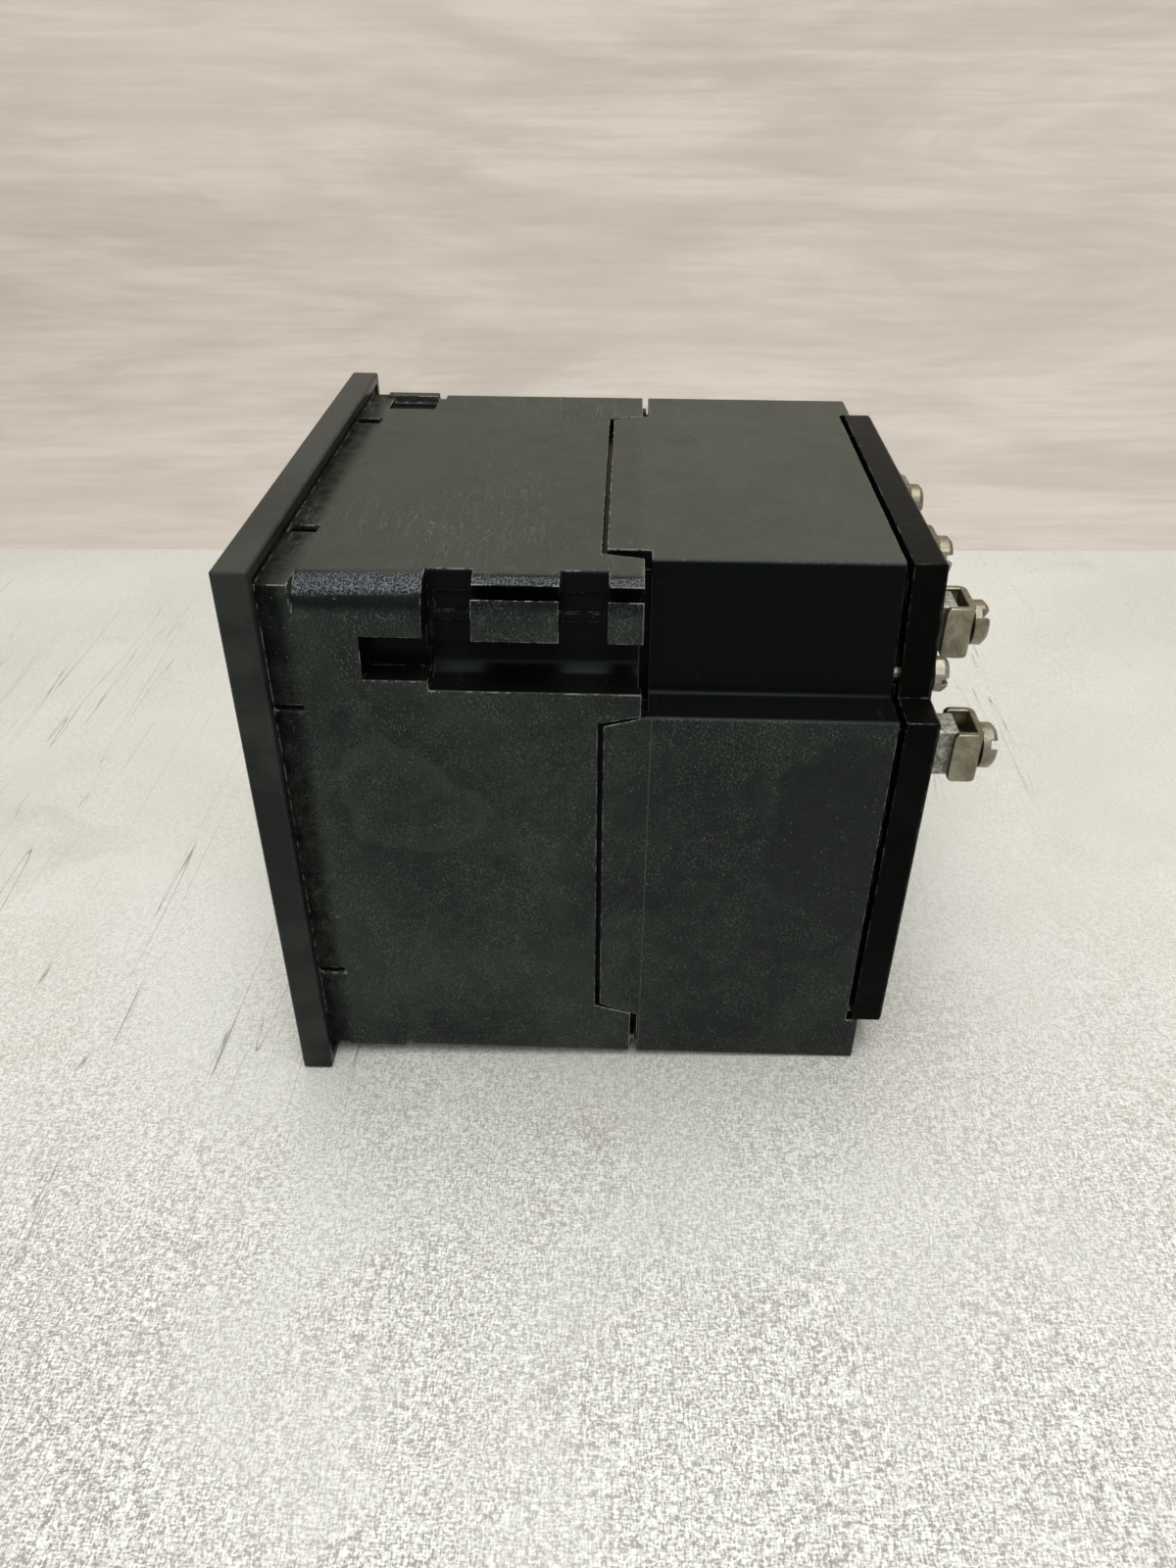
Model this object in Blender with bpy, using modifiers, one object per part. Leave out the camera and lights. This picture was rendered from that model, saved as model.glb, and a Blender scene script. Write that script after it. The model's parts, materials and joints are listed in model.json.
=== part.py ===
"""Panel synchroscope for a square panel cut-out, built as the separate pieces that it is assembled from.

The instrument frame has x across, y back from the bezel's front face and z up, with its origin at the
centre of that face. An empty carries it, so that the finished object stands on its bezel's lower edge
with its origin under the middle. All lengths are in metres.
"""
import math

import bmesh
import bpy
from mathutils import Matrix, Vector

# Clearances and working values
GAP = 0.0003                # between neighbours that touch on the real object
OVERRUN = 0.002             # how far a cutter reaches past what it cuts
BURY = 0.0011               # how deep a rib or boss is let into the wall that carries it
ARC_STEP = math.radians(15)
BIG_ROUND = 32              # sides of large, medium and small round pieces
MID_ROUND = 20
SMALL_ROUND = 14
NUT_SIDES = 6
AXIS_MERGE = 0.00001
FLAT_ANGLE = math.radians(0.1)

# Bezel and window
BEZEL_SIDE = 0.096
BEZEL_DEPTH = 0.0051
BEZEL_EDGE = 0.00035
BEZEL_LIP = 0.0012
BEZEL_RIM = 0.0018
BEZEL_FRAME = 0.006
BEZEL_OVERHANG = 0.00325
WINDOW_FLARE = 0.0012
GLASS_THICKNESS = 0.0015
SEAL_WIDTH = 0.0011
SEAL_THICKNESS = 0.0014

# Case, front half
CASE_WALL = 0.00225
CASE_EDGE = 0.0006
FLANGE_THICKNESS = 0.0014
FLANGE_ROOT = 0.0009
NECK_END = 0.00925
FRONT_CASE_END = 0.0582

# Clamp corner of the front case, measured in from the case's side face and its top face
CLAMP_RADIUS = 0.006
CORNER_BLOCK_WIDTH = 0.0108
CORNER_BLOCK_HEIGHT = 0.0193
CORNER_BLOCK_SHORT = 0.0004
CHANNEL_START = 0.0276
CHANNEL_DEPTH = 0.00725
CHANNEL_DROP = 0.00805
CHANNEL_HEIGHT = 0.0081
CHANNEL_FILLET = 0.0035
POCKET_START = 0.0182
POCKET_WALL = 0.0022
POCKET_DEPTH = 0.00475
POCKET_DROP = 0.0077
POCKET_HEIGHT = 0.00695
WEB_THICKNESS = 0.0014
TOP_WALL = 0.0034
STRIP_THICKNESS = 0.0019
WINDOW_DEPTH = 0.00655
WINDOW_LENGTH = 0.0068
SLOT_EXTRA_DEPTH = 0.0006
REAR_WINDOW_INSET = 0.0118
SLOT_ANGLES = (math.radians(38.5), math.radians(60))

# Plain corner of the front case: sunk pad, raised lip and notch beside the case's edge
PAD_START = 0.0093
PAD_INSET = 0.0026
PAD_WIDTH = 0.0072
PAD_SINK = 0.0009
LIP_RISE = 0.0004
LIP_ROOT = 0.0006
LIP_LEAD = 0.0013
EDGE_NOTCH_LENGTH = 0.0012
NOTCH_SINK = 0.0014

# Latch slits behind the bezel, on each side of the case
LATCH_INSETS = (0.01945, 0.01795)
LATCH_END = 0.0094
TOP_LATCH_WIDTH = 0.0017
SIDE_LATCH_WIDTH = 0.0009
LATCH_SINK = 0.0008
LATCH_RIB = 0.0005
LATCH_RISE = 0.00035

# Spigot of the front case inside the rear case
SPIGOT_OVERLAP = 0.0082
SPIGOT_LENGTH = 0.012
SPIGOT_THICKNESS = 0.0014
SPIGOT_ROOT_LEAD = 0.0016
SPIGOT_ROOT_LENGTH = 0.0032
SPIGOT_ROOT_WIDTH = 0.0029

# Case, rear half
REAR_CASE_END = 0.0956
CASE_SEAM = 0.0011
SEAM_KEY_DROP = 0.002
LUG_RISE = 0.0021
NOTCH_TOP_INSET = 0.01105
NOTCH_FLOOR_INSET = 0.00735
NOTCH_DROP = 0.01985
NOTCH_EDGE = 0.0008
TONGUE_REACH = 0.0054
TONGUE_SEAM = 0.00045
TONGUE_TIP_SEAM = 0.0008
TOP_TONGUE_CLAMP_DRAW = 0.0021
TOP_TONGUE_PLAIN_INSET = 0.01205
TOP_TONGUE_PLAIN_DRAW = 0.0023
SIDE_TONGUE_CLAMP_DRAW = 0.0017
SIDE_TONGUE_PLAIN_INSET = 0.00925
SIDE_TONGUE_PLAIN_DRAW = 0.00225

# Rear plate
PLATE_SEAM = 0.001
PLATE_THICKNESS = 0.005
PLATE_EDGE = 0.00035
PLATE_NOTCH = 0.0095
PLATE_NOTCH_FILLET = 0.0012
PLATE_STEP = 0.0031
PLATE_STEP_NOTCH = 0.012

# Screws that hold the cases and the rear plate together
PLATE_SCREW_INSET = 0.01125
PLATE_SCREW_DROP = 0.01775
PLATE_SCREW_RADIUS = 0.0014
PLATE_SCREW_HEAD_RADIUS = 0.00275
PLATE_SCREW_HEAD = 0.0022
PLATE_SCREW_DEPTH = 0.015
PLATE_POST_RADIUS = 0.0029
PLATE_POST_LENGTH = 0.013
PLATE_POST_RIB = 0.0022
CASE_SCREW_INSET = 0.00615
CASE_SCREW_RADIUS = 0.0014
CASE_SCREW_HEAD_RADIUS = 0.0026
CASE_SCREW_HEAD = 0.0018
CASE_SCREW_BITE = 0.0152
CASE_POST_WIDTH = 0.0091
CASE_BOSS_LENGTH = 0.0197
CASE_POST_RECESS = 0.0006
SCREW_SLOT = 0.0009
SCREW_SLOT_DEPTH_SHARE = 0.5
SCREW_CROWN_SHARE = 0.35
HOLE_CLEARANCE = 0.00035

# Terminals: places on the rear plate, and how far each one is backed off its closed place
TERMINAL_ROW_DROP = 0.01325
TERMINAL_INSET = 0.01975
SIDE_TERMINAL_INSET = 0.00735
SIDE_TERMINAL_DROP = 0.02775
THREAD_PITCH = 0.0007
BACKED_OFF_TURNS = 1.5
BLOCK_WIDTH = 0.0057
BLOCK_LENGTH = 0.0078
BLOCK_HEIGHT = 0.0041
BLOCK_EDGE = 0.0003
TAG_WIDTH = 0.0042
TAG_THICKNESS = 0.001
TAG_REACH = 0.0135
TAG_OFFSET = 0.0026
SADDLE_WIDTH = 0.0085
SADDLE_LENGTH = 0.0083
SADDLE_SHEET = 0.0011
SADDLE_CHEEK = 0.0045
SADDLE_LIFT = 0.0024
SADDLE_BEND = 0.0013
SADDLE_CORNER = 0.0009
TERMINAL_THREAD_RADIUS = 0.0019
TERMINAL_HEAD_RADIUS = 0.0035
TERMINAL_HEAD = 0.0024
TERMINAL_CROWN = 0.0007
TERMINAL_SHANK = 0.0092
TERMINAL_SLOT = 0.0013
TERMINAL_BORE_REACH = 0.0062
SLOT_TURNS = [math.radians(turn) for turn in (49, 15, -20, 31, 65)]

# Dial, pointer and spindle
DIAL_FACE = 0.012
DIAL_THICKNESS = 0.001
DIAL_INSET = 0.0006
DIAL_CORNER = 0.004
DIAL_HOLE_RADIUS = 0.0035
DIAL_SCREW_INSET = 0.0085
DIAL_SCREW_RADIUS = 0.0012
DIAL_SCREW_HEAD_RADIUS = 0.0022
DIAL_SCREW_HEAD = 0.0014
DIAL_SCREW_LENGTH = 0.0055
DIAL_PILLAR_RADIUS = 0.003
POINTER_LIFT = 0.0029
POINTER_THICKNESS = 0.0006
POINTER_REACH_SHARE = 0.8115
POINTER_HEAD_LENGTH = 0.013
POINTER_HEAD_WIDTH = 0.0085
POINTER_BARB = 0.0012
POINTER_BAR_WIDTH = 0.003
POINTER_TAIL = 0.015
POINTER_TAIL_WIDTH = 0.006
POINTER_TAIL_LENGTH = 0.006
POINTER_HUB_RADIUS = 0.0034
POINTER_NECK_RADIUS = 0.002
POINTER_HUB_FLANGE = 0.001
POINTER_NECK_RISE = 0.0005
SPINDLE_RADIUS = 0.00095
SPINDLE_LEAD = 0.0009
PIVOT_RADIUS = 0.00025
PIVOT_LENGTH = 0.0012
PIVOT_TAPER = 0.0008
RUNNING_FIT = 0.0001
END_PLAY = 0.0003

# Movement plate, bridge and pillars
DIAL_STAND_OFF = 0.008
MOVEMENT_SHEET = 0.002
MOVEMENT_RIM = 0.0014
MOVEMENT_EAR_GAP = 0.002
MOVEMENT_EAR_HALF = 0.0125
MOVEMENT_CORNER = 0.003
MOVEMENT_SCREW_EDGE = 0.003
MOVEMENT_SCREW_Z = 0.008
MOVEMENT_SCREW_RADIUS = 0.0013
MOVEMENT_SCREW_HEAD_RADIUS = 0.0024
MOVEMENT_SCREW_HEAD = 0.0018
MOVEMENT_SCREW_LENGTH = 0.0058
MOVEMENT_BOSS_HALF = 0.0034
MOVEMENT_BOSS_LENGTH = 0.0054
BUSH_FLANGE_RADIUS = 0.0045
BUSH_RADIUS = 0.003
BUSH_FLANGE = 0.0012
BUSH_LENGTH = 0.0036
BRIDGE_CLEARANCE = 0.006
BRIDGE_SHEET = 0.002
BRIDGE_ARM_RIM = 0.00056
BRIDGE_ARM_SHARE = 0.1667
BRIDGE_HUB_RADIUS = 0.009
PILLAR_OUTSET = 0.00394
PILLAR_RADIUS = 0.0024
PILLAR_SHOULDER = 0.0012
PILLAR_END = 0.0015
BRIDGE_SCREW_RADIUS = 0.0011
BRIDGE_SCREW_HEAD_RADIUS = 0.0023
BRIDGE_SCREW_HEAD = 0.0016
BRIDGE_SCREW_LENGTH = 0.006
JEWEL_RADIUS = 0.0021
JEWEL_LEAD = 0.0015
JEWEL_REACH = 0.0055
JEWEL_NUT_RADIUS = 0.0036
JEWEL_NUT = 0.0016

# Stator, its coils, and the polarising coil inside the rotor
STATOR_STAND_OFF = 0.006
STATOR_LENGTH = 0.018
STATOR_CLEARANCE = 0.0037
YOKE_SHARE = 0.14
POLE_COUNT = 6
POLE_WIDTH_SHARE = 0.2
POLE_FACE_SHARE = 0.4767
POLE_SHOE = 0.0016
POLE_SHOE_ANGLE = math.radians(20)
LUG_RADIUS = 0.0044
COIL_BUILD_SHARE = 0.1033
COIL_CORNER = 0.0014
COIL_SHOE_GAP = 0.0005
COIL_YOKE_GAP = 0.0014
BOBBIN_INSET = 0.002
BOBBIN_BORE_SHARE = 0.1333
BOBBIN_WALL_SHARE = 0.0333
BOBBIN_SHOE_SHARE = 0.06
BOBBIN_CHEEK = 0.0008
BOBBIN_WEB = 0.0015
SPIDER_ARMS = 3
SPIDER_ARM_WIDTH = 0.003
WINDING_SINK = 0.0004

# Rotor iron: a hub with two vanes that point opposite ways
ROTOR_HUB_SHARE = 0.1
ROTOR_LEAD = 0.0012
ROTOR_TRAIL = 0.0014
AIR_GAP = 0.0008
VANE_SHEET = 0.0013
VANE_SHOE = 0.0012
VANE_HALF_ANGLE = math.radians(30)
VANE_MID_GAP = 0.0032

# Component board in the rear case
BOARD_PLACE_SHARE = 0.7322
BOARD_THICKNESS = 0.0016
BOARD_SIDE_INSET = 0.00975
BOARD_TOP_INSET = 0.02275
BOARD_CORNER = 0.002
BOARD_PILLAR_INSET = 0.004
BOARD_PILLAR_DROP = 0.0045
BOARD_PILLAR_RADIUS = 0.0025
BOARD_SCREW_RADIUS = 0.0011
BOARD_SCREW_HEAD_RADIUS = 0.0022
BOARD_SCREW_HEAD = 0.0016
BOARD_SCREW_LENGTH = 0.006
RESISTOR_LENGTH_SHARE = 0.6286
RESISTOR_SIDE_SHARE = 0.409
RESISTOR_PLACE_SHARES = (0.4, 0.3636)
RESISTOR_EDGE = 0.0006

# Values worked out from the ones above: the bezel, the window and the case's section
CASE_HALF = BEZEL_SIDE / 2 - BEZEL_OVERHANG
WINDOW_HALF = BEZEL_SIDE / 2 - BEZEL_FRAME
BEZEL_CAVITY = BEZEL_SIDE / 2 - BEZEL_RIM
FLANGE_HALF = BEZEL_CAVITY - GAP
INNER_HALF = CASE_HALF - CASE_WALL
NOTCH_TOP_X = CASE_HALF - NOTCH_TOP_INSET
NOTCH_FLOOR_X = CASE_HALF - NOTCH_FLOOR_INSET
NOTCH_FLOOR_Z = CASE_HALF - NOTCH_DROP
LATCH_PLACES = (CASE_HALF - LATCH_INSETS[0], LATCH_INSETS[1] - CASE_HALF)
LATCH_WIDTHS = (("top", TOP_LATCH_WIDTH), ("side", SIDE_LATCH_WIDTH))
PLATE_SCREW_X = CASE_HALF - PLATE_SCREW_INSET
PLATE_SCREW_Z = CASE_HALF - PLATE_SCREW_DROP
CASE_SCREW_PLACE = CASE_HALF - CASE_SCREW_INSET

# Places along y, from the glass to the terminals
GLASS_FRONT = BEZEL_LIP + GAP
FLANGE_FRONT = GLASS_FRONT + GLASS_THICKNESS + GAP
FLANGE_REAR = FLANGE_FRONT + FLANGE_THICKNESS
SEAT_FLOOR = FLANGE_REAR + GAP
CORNER_BLOCK_START = POCKET_START - POCKET_WALL
PAD_END = POCKET_START
EDGE_NOTCH_END = PAD_END + EDGE_NOTCH_LENGTH
WINDOW_STARTS = (CHANNEL_START - GAP, FRONT_CASE_END - REAR_WINDOW_INSET)
CASE_BOSS_START = FRONT_CASE_END - CASE_BOSS_LENGTH
CASE_SCREW_TIP = FRONT_CASE_END - CASE_SCREW_BITE
SPIGOT_START = FRONT_CASE_END - SPIGOT_OVERLAP
SPIGOT_ROOT_START = SPIGOT_START - SPIGOT_ROOT_LEAD
TONGUE_TIP = FRONT_CASE_END - TONGUE_REACH
REAR_CASE_START = FRONT_CASE_END + CASE_SEAM
PLATE_FRONT = REAR_CASE_END + PLATE_SEAM
PLATE_REAR = PLATE_FRONT + PLATE_THICKNESS
BLOCK_REAR = PLATE_REAR + GAP + BLOCK_HEIGHT
SADDLE_REAR = BLOCK_REAR + SADDLE_LIFT
BACKED_OFF = THREAD_PITCH * BACKED_OFF_TURNS
TOTAL_DEPTH = SADDLE_REAR + BACKED_OFF + GAP + TERMINAL_HEAD

# The movement: its places along y, then its radii
POINTER_FACE = DIAL_FACE - POINTER_LIFT
SPINDLE_FRONT = POINTER_FACE - SPINDLE_LEAD
PLATE_FACE = DIAL_FACE + DIAL_STAND_OFF
STATOR_FRONT = PLATE_FACE + STATOR_STAND_OFF
STATOR_REAR = STATOR_FRONT + STATOR_LENGTH
BOBBIN_FRONT = STATOR_FRONT + BOBBIN_INSET
BOBBIN_REAR = STATOR_REAR - BOBBIN_INSET
ROTOR_FRONT = STATOR_FRONT - ROTOR_LEAD
ROTOR_REAR = STATOR_REAR + ROTOR_TRAIL
BRIDGE_FACE = STATOR_REAR + BRIDGE_CLEARANCE
JEWEL_FRONT = BRIDGE_FACE - JEWEL_LEAD
DIAL_HALF = INNER_HALF - DIAL_INSET
DIAL_SCREW_X = INNER_HALF - DIAL_SCREW_INSET
POINTER_REACH = DIAL_HALF * POINTER_REACH_SHARE
STATOR_RADIUS = NOTCH_TOP_X - STATOR_CLEARANCE
YOKE_THICKNESS = STATOR_RADIUS * YOKE_SHARE
POLE_WIDTH = STATOR_RADIUS * POLE_WIDTH_SHARE
POLE_FACE_RADIUS = STATOR_RADIUS * POLE_FACE_SHARE
COIL_BUILD = STATOR_RADIUS * COIL_BUILD_SHARE
COIL_INNER_RADIUS = POLE_FACE_RADIUS + POLE_SHOE + COIL_SHOE_GAP
COIL_OUTER_RADIUS = STATOR_RADIUS - YOKE_THICKNESS - COIL_YOKE_GAP
VANE_RADIUS = POLE_FACE_RADIUS - AIR_GAP
BOBBIN_RADIUS = VANE_RADIUS - VANE_SHOE - STATOR_RADIUS * BOBBIN_SHOE_SHARE
BOBBIN_BORE = STATOR_RADIUS * BOBBIN_BORE_SHARE
BARREL_RADIUS = BOBBIN_BORE + STATOR_RADIUS * BOBBIN_WALL_SHARE
ROTOR_HUB_RADIUS = STATOR_RADIUS * ROTOR_HUB_SHARE
WINDING_DEPTH = BOBBIN_RADIUS - BARREL_RADIUS - GAP - WINDING_SINK
PILLAR_PLACE = (STATOR_RADIUS + PILLAR_OUTSET) / math.sqrt(2)
BRIDGE_ARM_HALF = STATOR_RADIUS * BRIDGE_ARM_SHARE
BRIDGE_ARM_REACH = STATOR_RADIUS + PILLAR_OUTSET + BRIDGE_ARM_HALF + BRIDGE_ARM_RIM
MOVEMENT_HALF = PILLAR_PLACE + PILLAR_RADIUS + PILLAR_SHOULDER + MOVEMENT_RIM
MOVEMENT_EAR_REACH = INNER_HALF - MOVEMENT_EAR_GAP
MOVEMENT_SCREW_X = MOVEMENT_EAR_REACH - MOVEMENT_SCREW_EDGE

# The component board
BOARD_FACE = REAR_CASE_END * BOARD_PLACE_SHARE
BOARD_REAR = BOARD_FACE + BOARD_THICKNESS
BOARD_HALF_WIDTH = CASE_HALF - BOARD_SIDE_INSET
BOARD_HALF_HEIGHT = CASE_HALF - BOARD_TOP_INSET
BOARD_PILLAR_X = BOARD_HALF_WIDTH - BOARD_PILLAR_INSET
BOARD_PILLAR_Z = BOARD_HALF_HEIGHT - BOARD_PILLAR_DROP
RESISTOR_LENGTH = BOARD_HALF_WIDTH * RESISTOR_LENGTH_SHARE
RESISTOR_SIDE = BOARD_HALF_HEIGHT * RESISTOR_SIDE_SHARE
RESISTOR_X = BOARD_HALF_WIDTH * RESISTOR_PLACE_SHARES[0]
RESISTOR_Z = BOARD_HALF_HEIGHT * RESISTOR_PLACE_SHARES[1]

# Places that several pieces share
DIAL_PLACES = ((DIAL_SCREW_X, 0), (-DIAL_SCREW_X, 0))
BOARD_PLACES = ((BOARD_PILLAR_X, BOARD_PILLAR_Z), (-BOARD_PILLAR_X, -BOARD_PILLAR_Z))
TERMINALS = (
    (CASE_HALF - TERMINAL_INSET, CASE_HALF - TERMINAL_ROW_DROP, 0),
    (0, CASE_HALF - TERMINAL_ROW_DROP, 0),
    (TERMINAL_INSET - CASE_HALF, CASE_HALF - TERMINAL_ROW_DROP, 0),
    (CASE_HALF - SIDE_TERMINAL_INSET, CASE_HALF - SIDE_TERMINAL_DROP, BACKED_OFF),
    (SIDE_TERMINAL_INSET - CASE_HALF, CASE_HALF - SIDE_TERMINAL_DROP, 0),
)

# How an outline's own (u, v, w) lies in the instrument when its thickness runs along an axis
FACING = {
    "x": Matrix(((0, 0, 1), (1, 0, 0), (0, 1, 0))),
    "y": Matrix(((1, 0, 0), (0, 0, -1), (0, 1, 0))),
    "z": Matrix.Identity(3),
}
ALONG_Y = Matrix(((1, 0, 0), (0, 0, 1), (0, -1, 0)))


def clear_scene():
    """Removes whatever the file holds."""
    for obj in list(bpy.data.objects):
        bpy.data.objects.remove(obj, do_unlink=True)


def new_collection(name):
    collection = bpy.data.collections.new(name)
    bpy.context.scene.collection.children.link(collection)
    return collection


def new_empty(name, parent=None, location=(0, 0, 0), rotation=(0, 0, 0)):
    empty = bpy.data.objects.new(name, None)
    empty.parent = parent
    empty.location = location
    empty.rotation_euler = rotation
    parts.objects.link(empty)
    return empty


clear_scene()
parts = new_collection("panel_synchroscope")
cutters = new_collection("cutters")
instrument = new_empty("instrument", location=(0, -TOTAL_DEPTH / 2, BEZEL_SIDE / 2))
half_turned = new_empty("half_turned", parent=instrument)
half_turned.rotation_mode = "QUATERNION"
half_turned.rotation_quaternion = (0, 0, 1, 0)
HALVES = (instrument, half_turned)


def material(name, colour, roughness, metallic=0.0, transmission=0.0):
    """A plain finish with the piece's colour."""
    found = bpy.data.materials.new(name)
    found.use_nodes = True
    shader = found.node_tree.nodes["Principled BSDF"]
    shader.inputs["Base Color"].default_value = (*colour, 1)
    shader.inputs["Roughness"].default_value = roughness
    shader.inputs["Metallic"].default_value = metallic
    shader.inputs["Transmission Weight"].default_value = transmission
    return found


BLACK_MOULDING = ((0.02, 0.021, 0.02), 0.42)
BLACK_SATIN = ((0.016, 0.016, 0.017), 0.3)
CLEAR_GLASS = ((0.95, 0.97, 0.96), 0.05, 0.0, 1.0)
SOFT_RUBBER = ((0.03, 0.03, 0.03), 0.8)
NICKEL = ((0.52, 0.48, 0.41), 0.28, 1.0)
CAST_NICKEL = ((0.55, 0.54, 0.5), 0.5, 1.0)
STEEL = ((0.45, 0.45, 0.46), 0.35, 1.0)
ZINC_STEEL = ((0.6, 0.6, 0.58), 0.3, 1.0)
BRASS = ((0.7, 0.52, 0.25), 0.3, 1.0)
SHEET_IRON = ((0.28, 0.28, 0.29), 0.5, 1.0)
DIAL_WHITE = ((0.82, 0.81, 0.76), 0.5)
POINTER_RED = ((0.6, 0.05, 0.03), 0.45)
COPPER_WIRE = ((0.5, 0.2, 0.09), 0.4, 0.6)
BOBBIN_BROWN = ((0.24, 0.12, 0.06), 0.5)
BOARD_TAN = ((0.4, 0.28, 0.13), 0.55)
CERAMIC = ((0.75, 0.74, 0.7), 0.7)


def add_object(name, mesh, location, parent=None, finish=None):
    """Puts a mesh in the instrument, as a piece if it has a finish and as a cutter if it has none."""
    obj = bpy.data.objects.new(name, mesh)
    obj.parent = parent or instrument
    obj.location = location
    if finish is None:
        obj.hide_render = True
        obj.display_type = "WIRE"
        cutters.objects.link(obj)
    else:
        mesh.materials.append(material(name, *finish))
        parts.objects.link(obj)
    return obj


def box(name, low, high, parent=None, finish=None):
    """A block between two opposite corners."""
    size = Vector(high) - Vector(low)
    bm = bmesh.new()
    bmesh.ops.create_cube(bm, size=1)
    bmesh.ops.scale(bm, vec=size, verts=bm.verts)
    mesh = bpy.data.meshes.new(name)
    bm.to_mesh(mesh)
    bm.free()
    return add_object(name, mesh, (Vector(low) + Vector(high)) / 2, parent=parent, finish=finish)


def rod(name, radius, start, end, x=0, z=0, sides=MID_ROUND, end_radius=None, parent=None, finish=None):
    """A round bar along y, or a cone where its end has a radius of its own."""
    bm = bmesh.new()
    far = radius if end_radius is None else end_radius
    bmesh.ops.create_cone(bm, cap_ends=True, segments=sides, radius1=radius, radius2=far,
                          depth=end - start)
    mesh = bpy.data.meshes.new(name)
    bm.to_mesh(mesh)
    bm.free()
    mesh.transform(ALONG_Y.to_4x4())
    obj = add_object(name, mesh, (x, (start + end) / 2, z), parent, finish)
    smooth(obj)
    return obj


def turned(name, profile, x=0, z=0, sides=MID_ROUND, closed=False, parent=None, finish=None):
    """A turned piece: (radius, y) points down the outer side from the rear end, spun about the y axis."""
    count = len(profile)
    edges = [(i, i + 1) for i in range(count - 1)]
    if closed:
        edges.append((count - 1, 0))
    mesh = bpy.data.meshes.new(name)
    mesh.from_pydata([(radius, y, 0) for radius, y in profile], edges, [])
    obj = add_object(name, mesh, (x, 0, z), parent, finish)
    screw = obj.modifiers.new("turn", "SCREW")
    screw.axis = "Y"
    screw.steps = sides
    screw.render_steps = sides
    screw.use_merge_vertices = True
    screw.merge_threshold = AXIS_MERGE
    return obj


def smooth(obj):
    obj.data.shade_smooth()
    obj.data.set_sharp_from_angle(angle=math.radians(35))


def evaluated_mesh(obj):
    """The mesh of an object with its modifiers applied."""
    bpy.context.view_layer.update()
    return bpy.data.meshes.new_from_object(obj.evaluated_get(bpy.context.evaluated_depsgraph_get()))


def outline_solid(name, rings, facing, low, high, parent=None, finish=None):
    """Flat outlines, a hole being a ring inside another, filled and given a thickness along an axis."""
    curve = bpy.data.curves.new(name, "CURVE")
    curve.dimensions = "2D"
    curve.fill_mode = "BOTH"
    curve.extrude = (high - low) / 2
    for ring in rings:
        spline = curve.splines.new("POLY")
        spline.points.add(len(ring) - 1)
        for point, (u, v) in zip(spline.points, ring):
            point.co = (u, v, 0, 1)
        spline.use_cyclic_u = True
    flat = bpy.data.objects.new(name, curve)
    bpy.context.scene.collection.objects.link(flat)
    mesh = evaluated_mesh(flat)
    bpy.data.objects.remove(flat, do_unlink=True)
    mesh.name = name
    bm = bmesh.new()
    bm.from_mesh(mesh)
    bmesh.ops.remove_doubles(bm, verts=bm.verts, dist=AXIS_MERGE)
    bmesh.ops.dissolve_limit(bm, angle_limit=FLAT_ANGLE, verts=bm.verts, edges=bm.edges)
    bmesh.ops.recalc_face_normals(bm, faces=bm.faces)
    bm.to_mesh(mesh)
    bm.free()
    mesh.transform(FACING[facing].to_4x4())
    middle = (low + high) / 2
    location = {"x": (middle, 0, 0), "y": (0, middle, 0), "z": (0, 0, middle)}[facing]
    obj = add_object(name, mesh, location, parent, finish)
    smooth(obj)
    return obj


def combine(obj, other, operation):
    """Keeps a Boolean with another object on this one."""
    modifier = obj.modifiers.new(other.name, "BOOLEAN")
    modifier.operation = operation
    modifier.solver = "EXACT"
    modifier.object = other


def cut(obj, *tools):
    for tool in tools:
        combine(obj, tool, "DIFFERENCE")


def join(obj, *tools):
    for tool in tools:
        combine(obj, tool, "UNION")


def bevel(obj, width, segments=1):
    modifier = obj.modifiers.new("edges", "BEVEL")
    modifier.width = width
    modifier.segments = segments
    modifier.limit_method = "ANGLE"
    modifier.angle_limit = math.radians(50)
    return obj


def chamfer_rear(obj, width):
    """Chamfers the rim of a plate's rear face."""
    bm = bmesh.new()
    bm.from_mesh(obj.data)
    rear = max(v.co.y for v in bm.verts) - AXIS_MERGE
    rim = [e for e in bm.edges if all(v.co.y > rear for v in e.verts)
           and any(abs(f.normal.y) < abs(f.normal.x) + abs(f.normal.z) for f in e.link_faces)]
    bmesh.ops.bevel(bm, geom=rim, offset=width, segments=1, affect="EDGES", clamp_overlap=True)
    bm.to_mesh(obj.data)
    bm.free()
    smooth(obj)


def copies(name, piece, places, finish):
    """Like pieces, each an object of its own: the finished mesh, set down at each (x, z) place."""
    mesh = evaluated_mesh(piece)
    mesh.transform(piece.matrix_basis)
    mesh.materials.clear()
    mesh.materials.append(material(name, *finish))
    bpy.data.objects.remove(piece, do_unlink=True)
    for number, (x, z) in enumerate(places, 1):
        obj = bpy.data.objects.new(f"{name}_{number}", mesh)
        obj.parent = instrument
        obj.location = (x, 0, z)
        parts.objects.link(obj)


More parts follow.
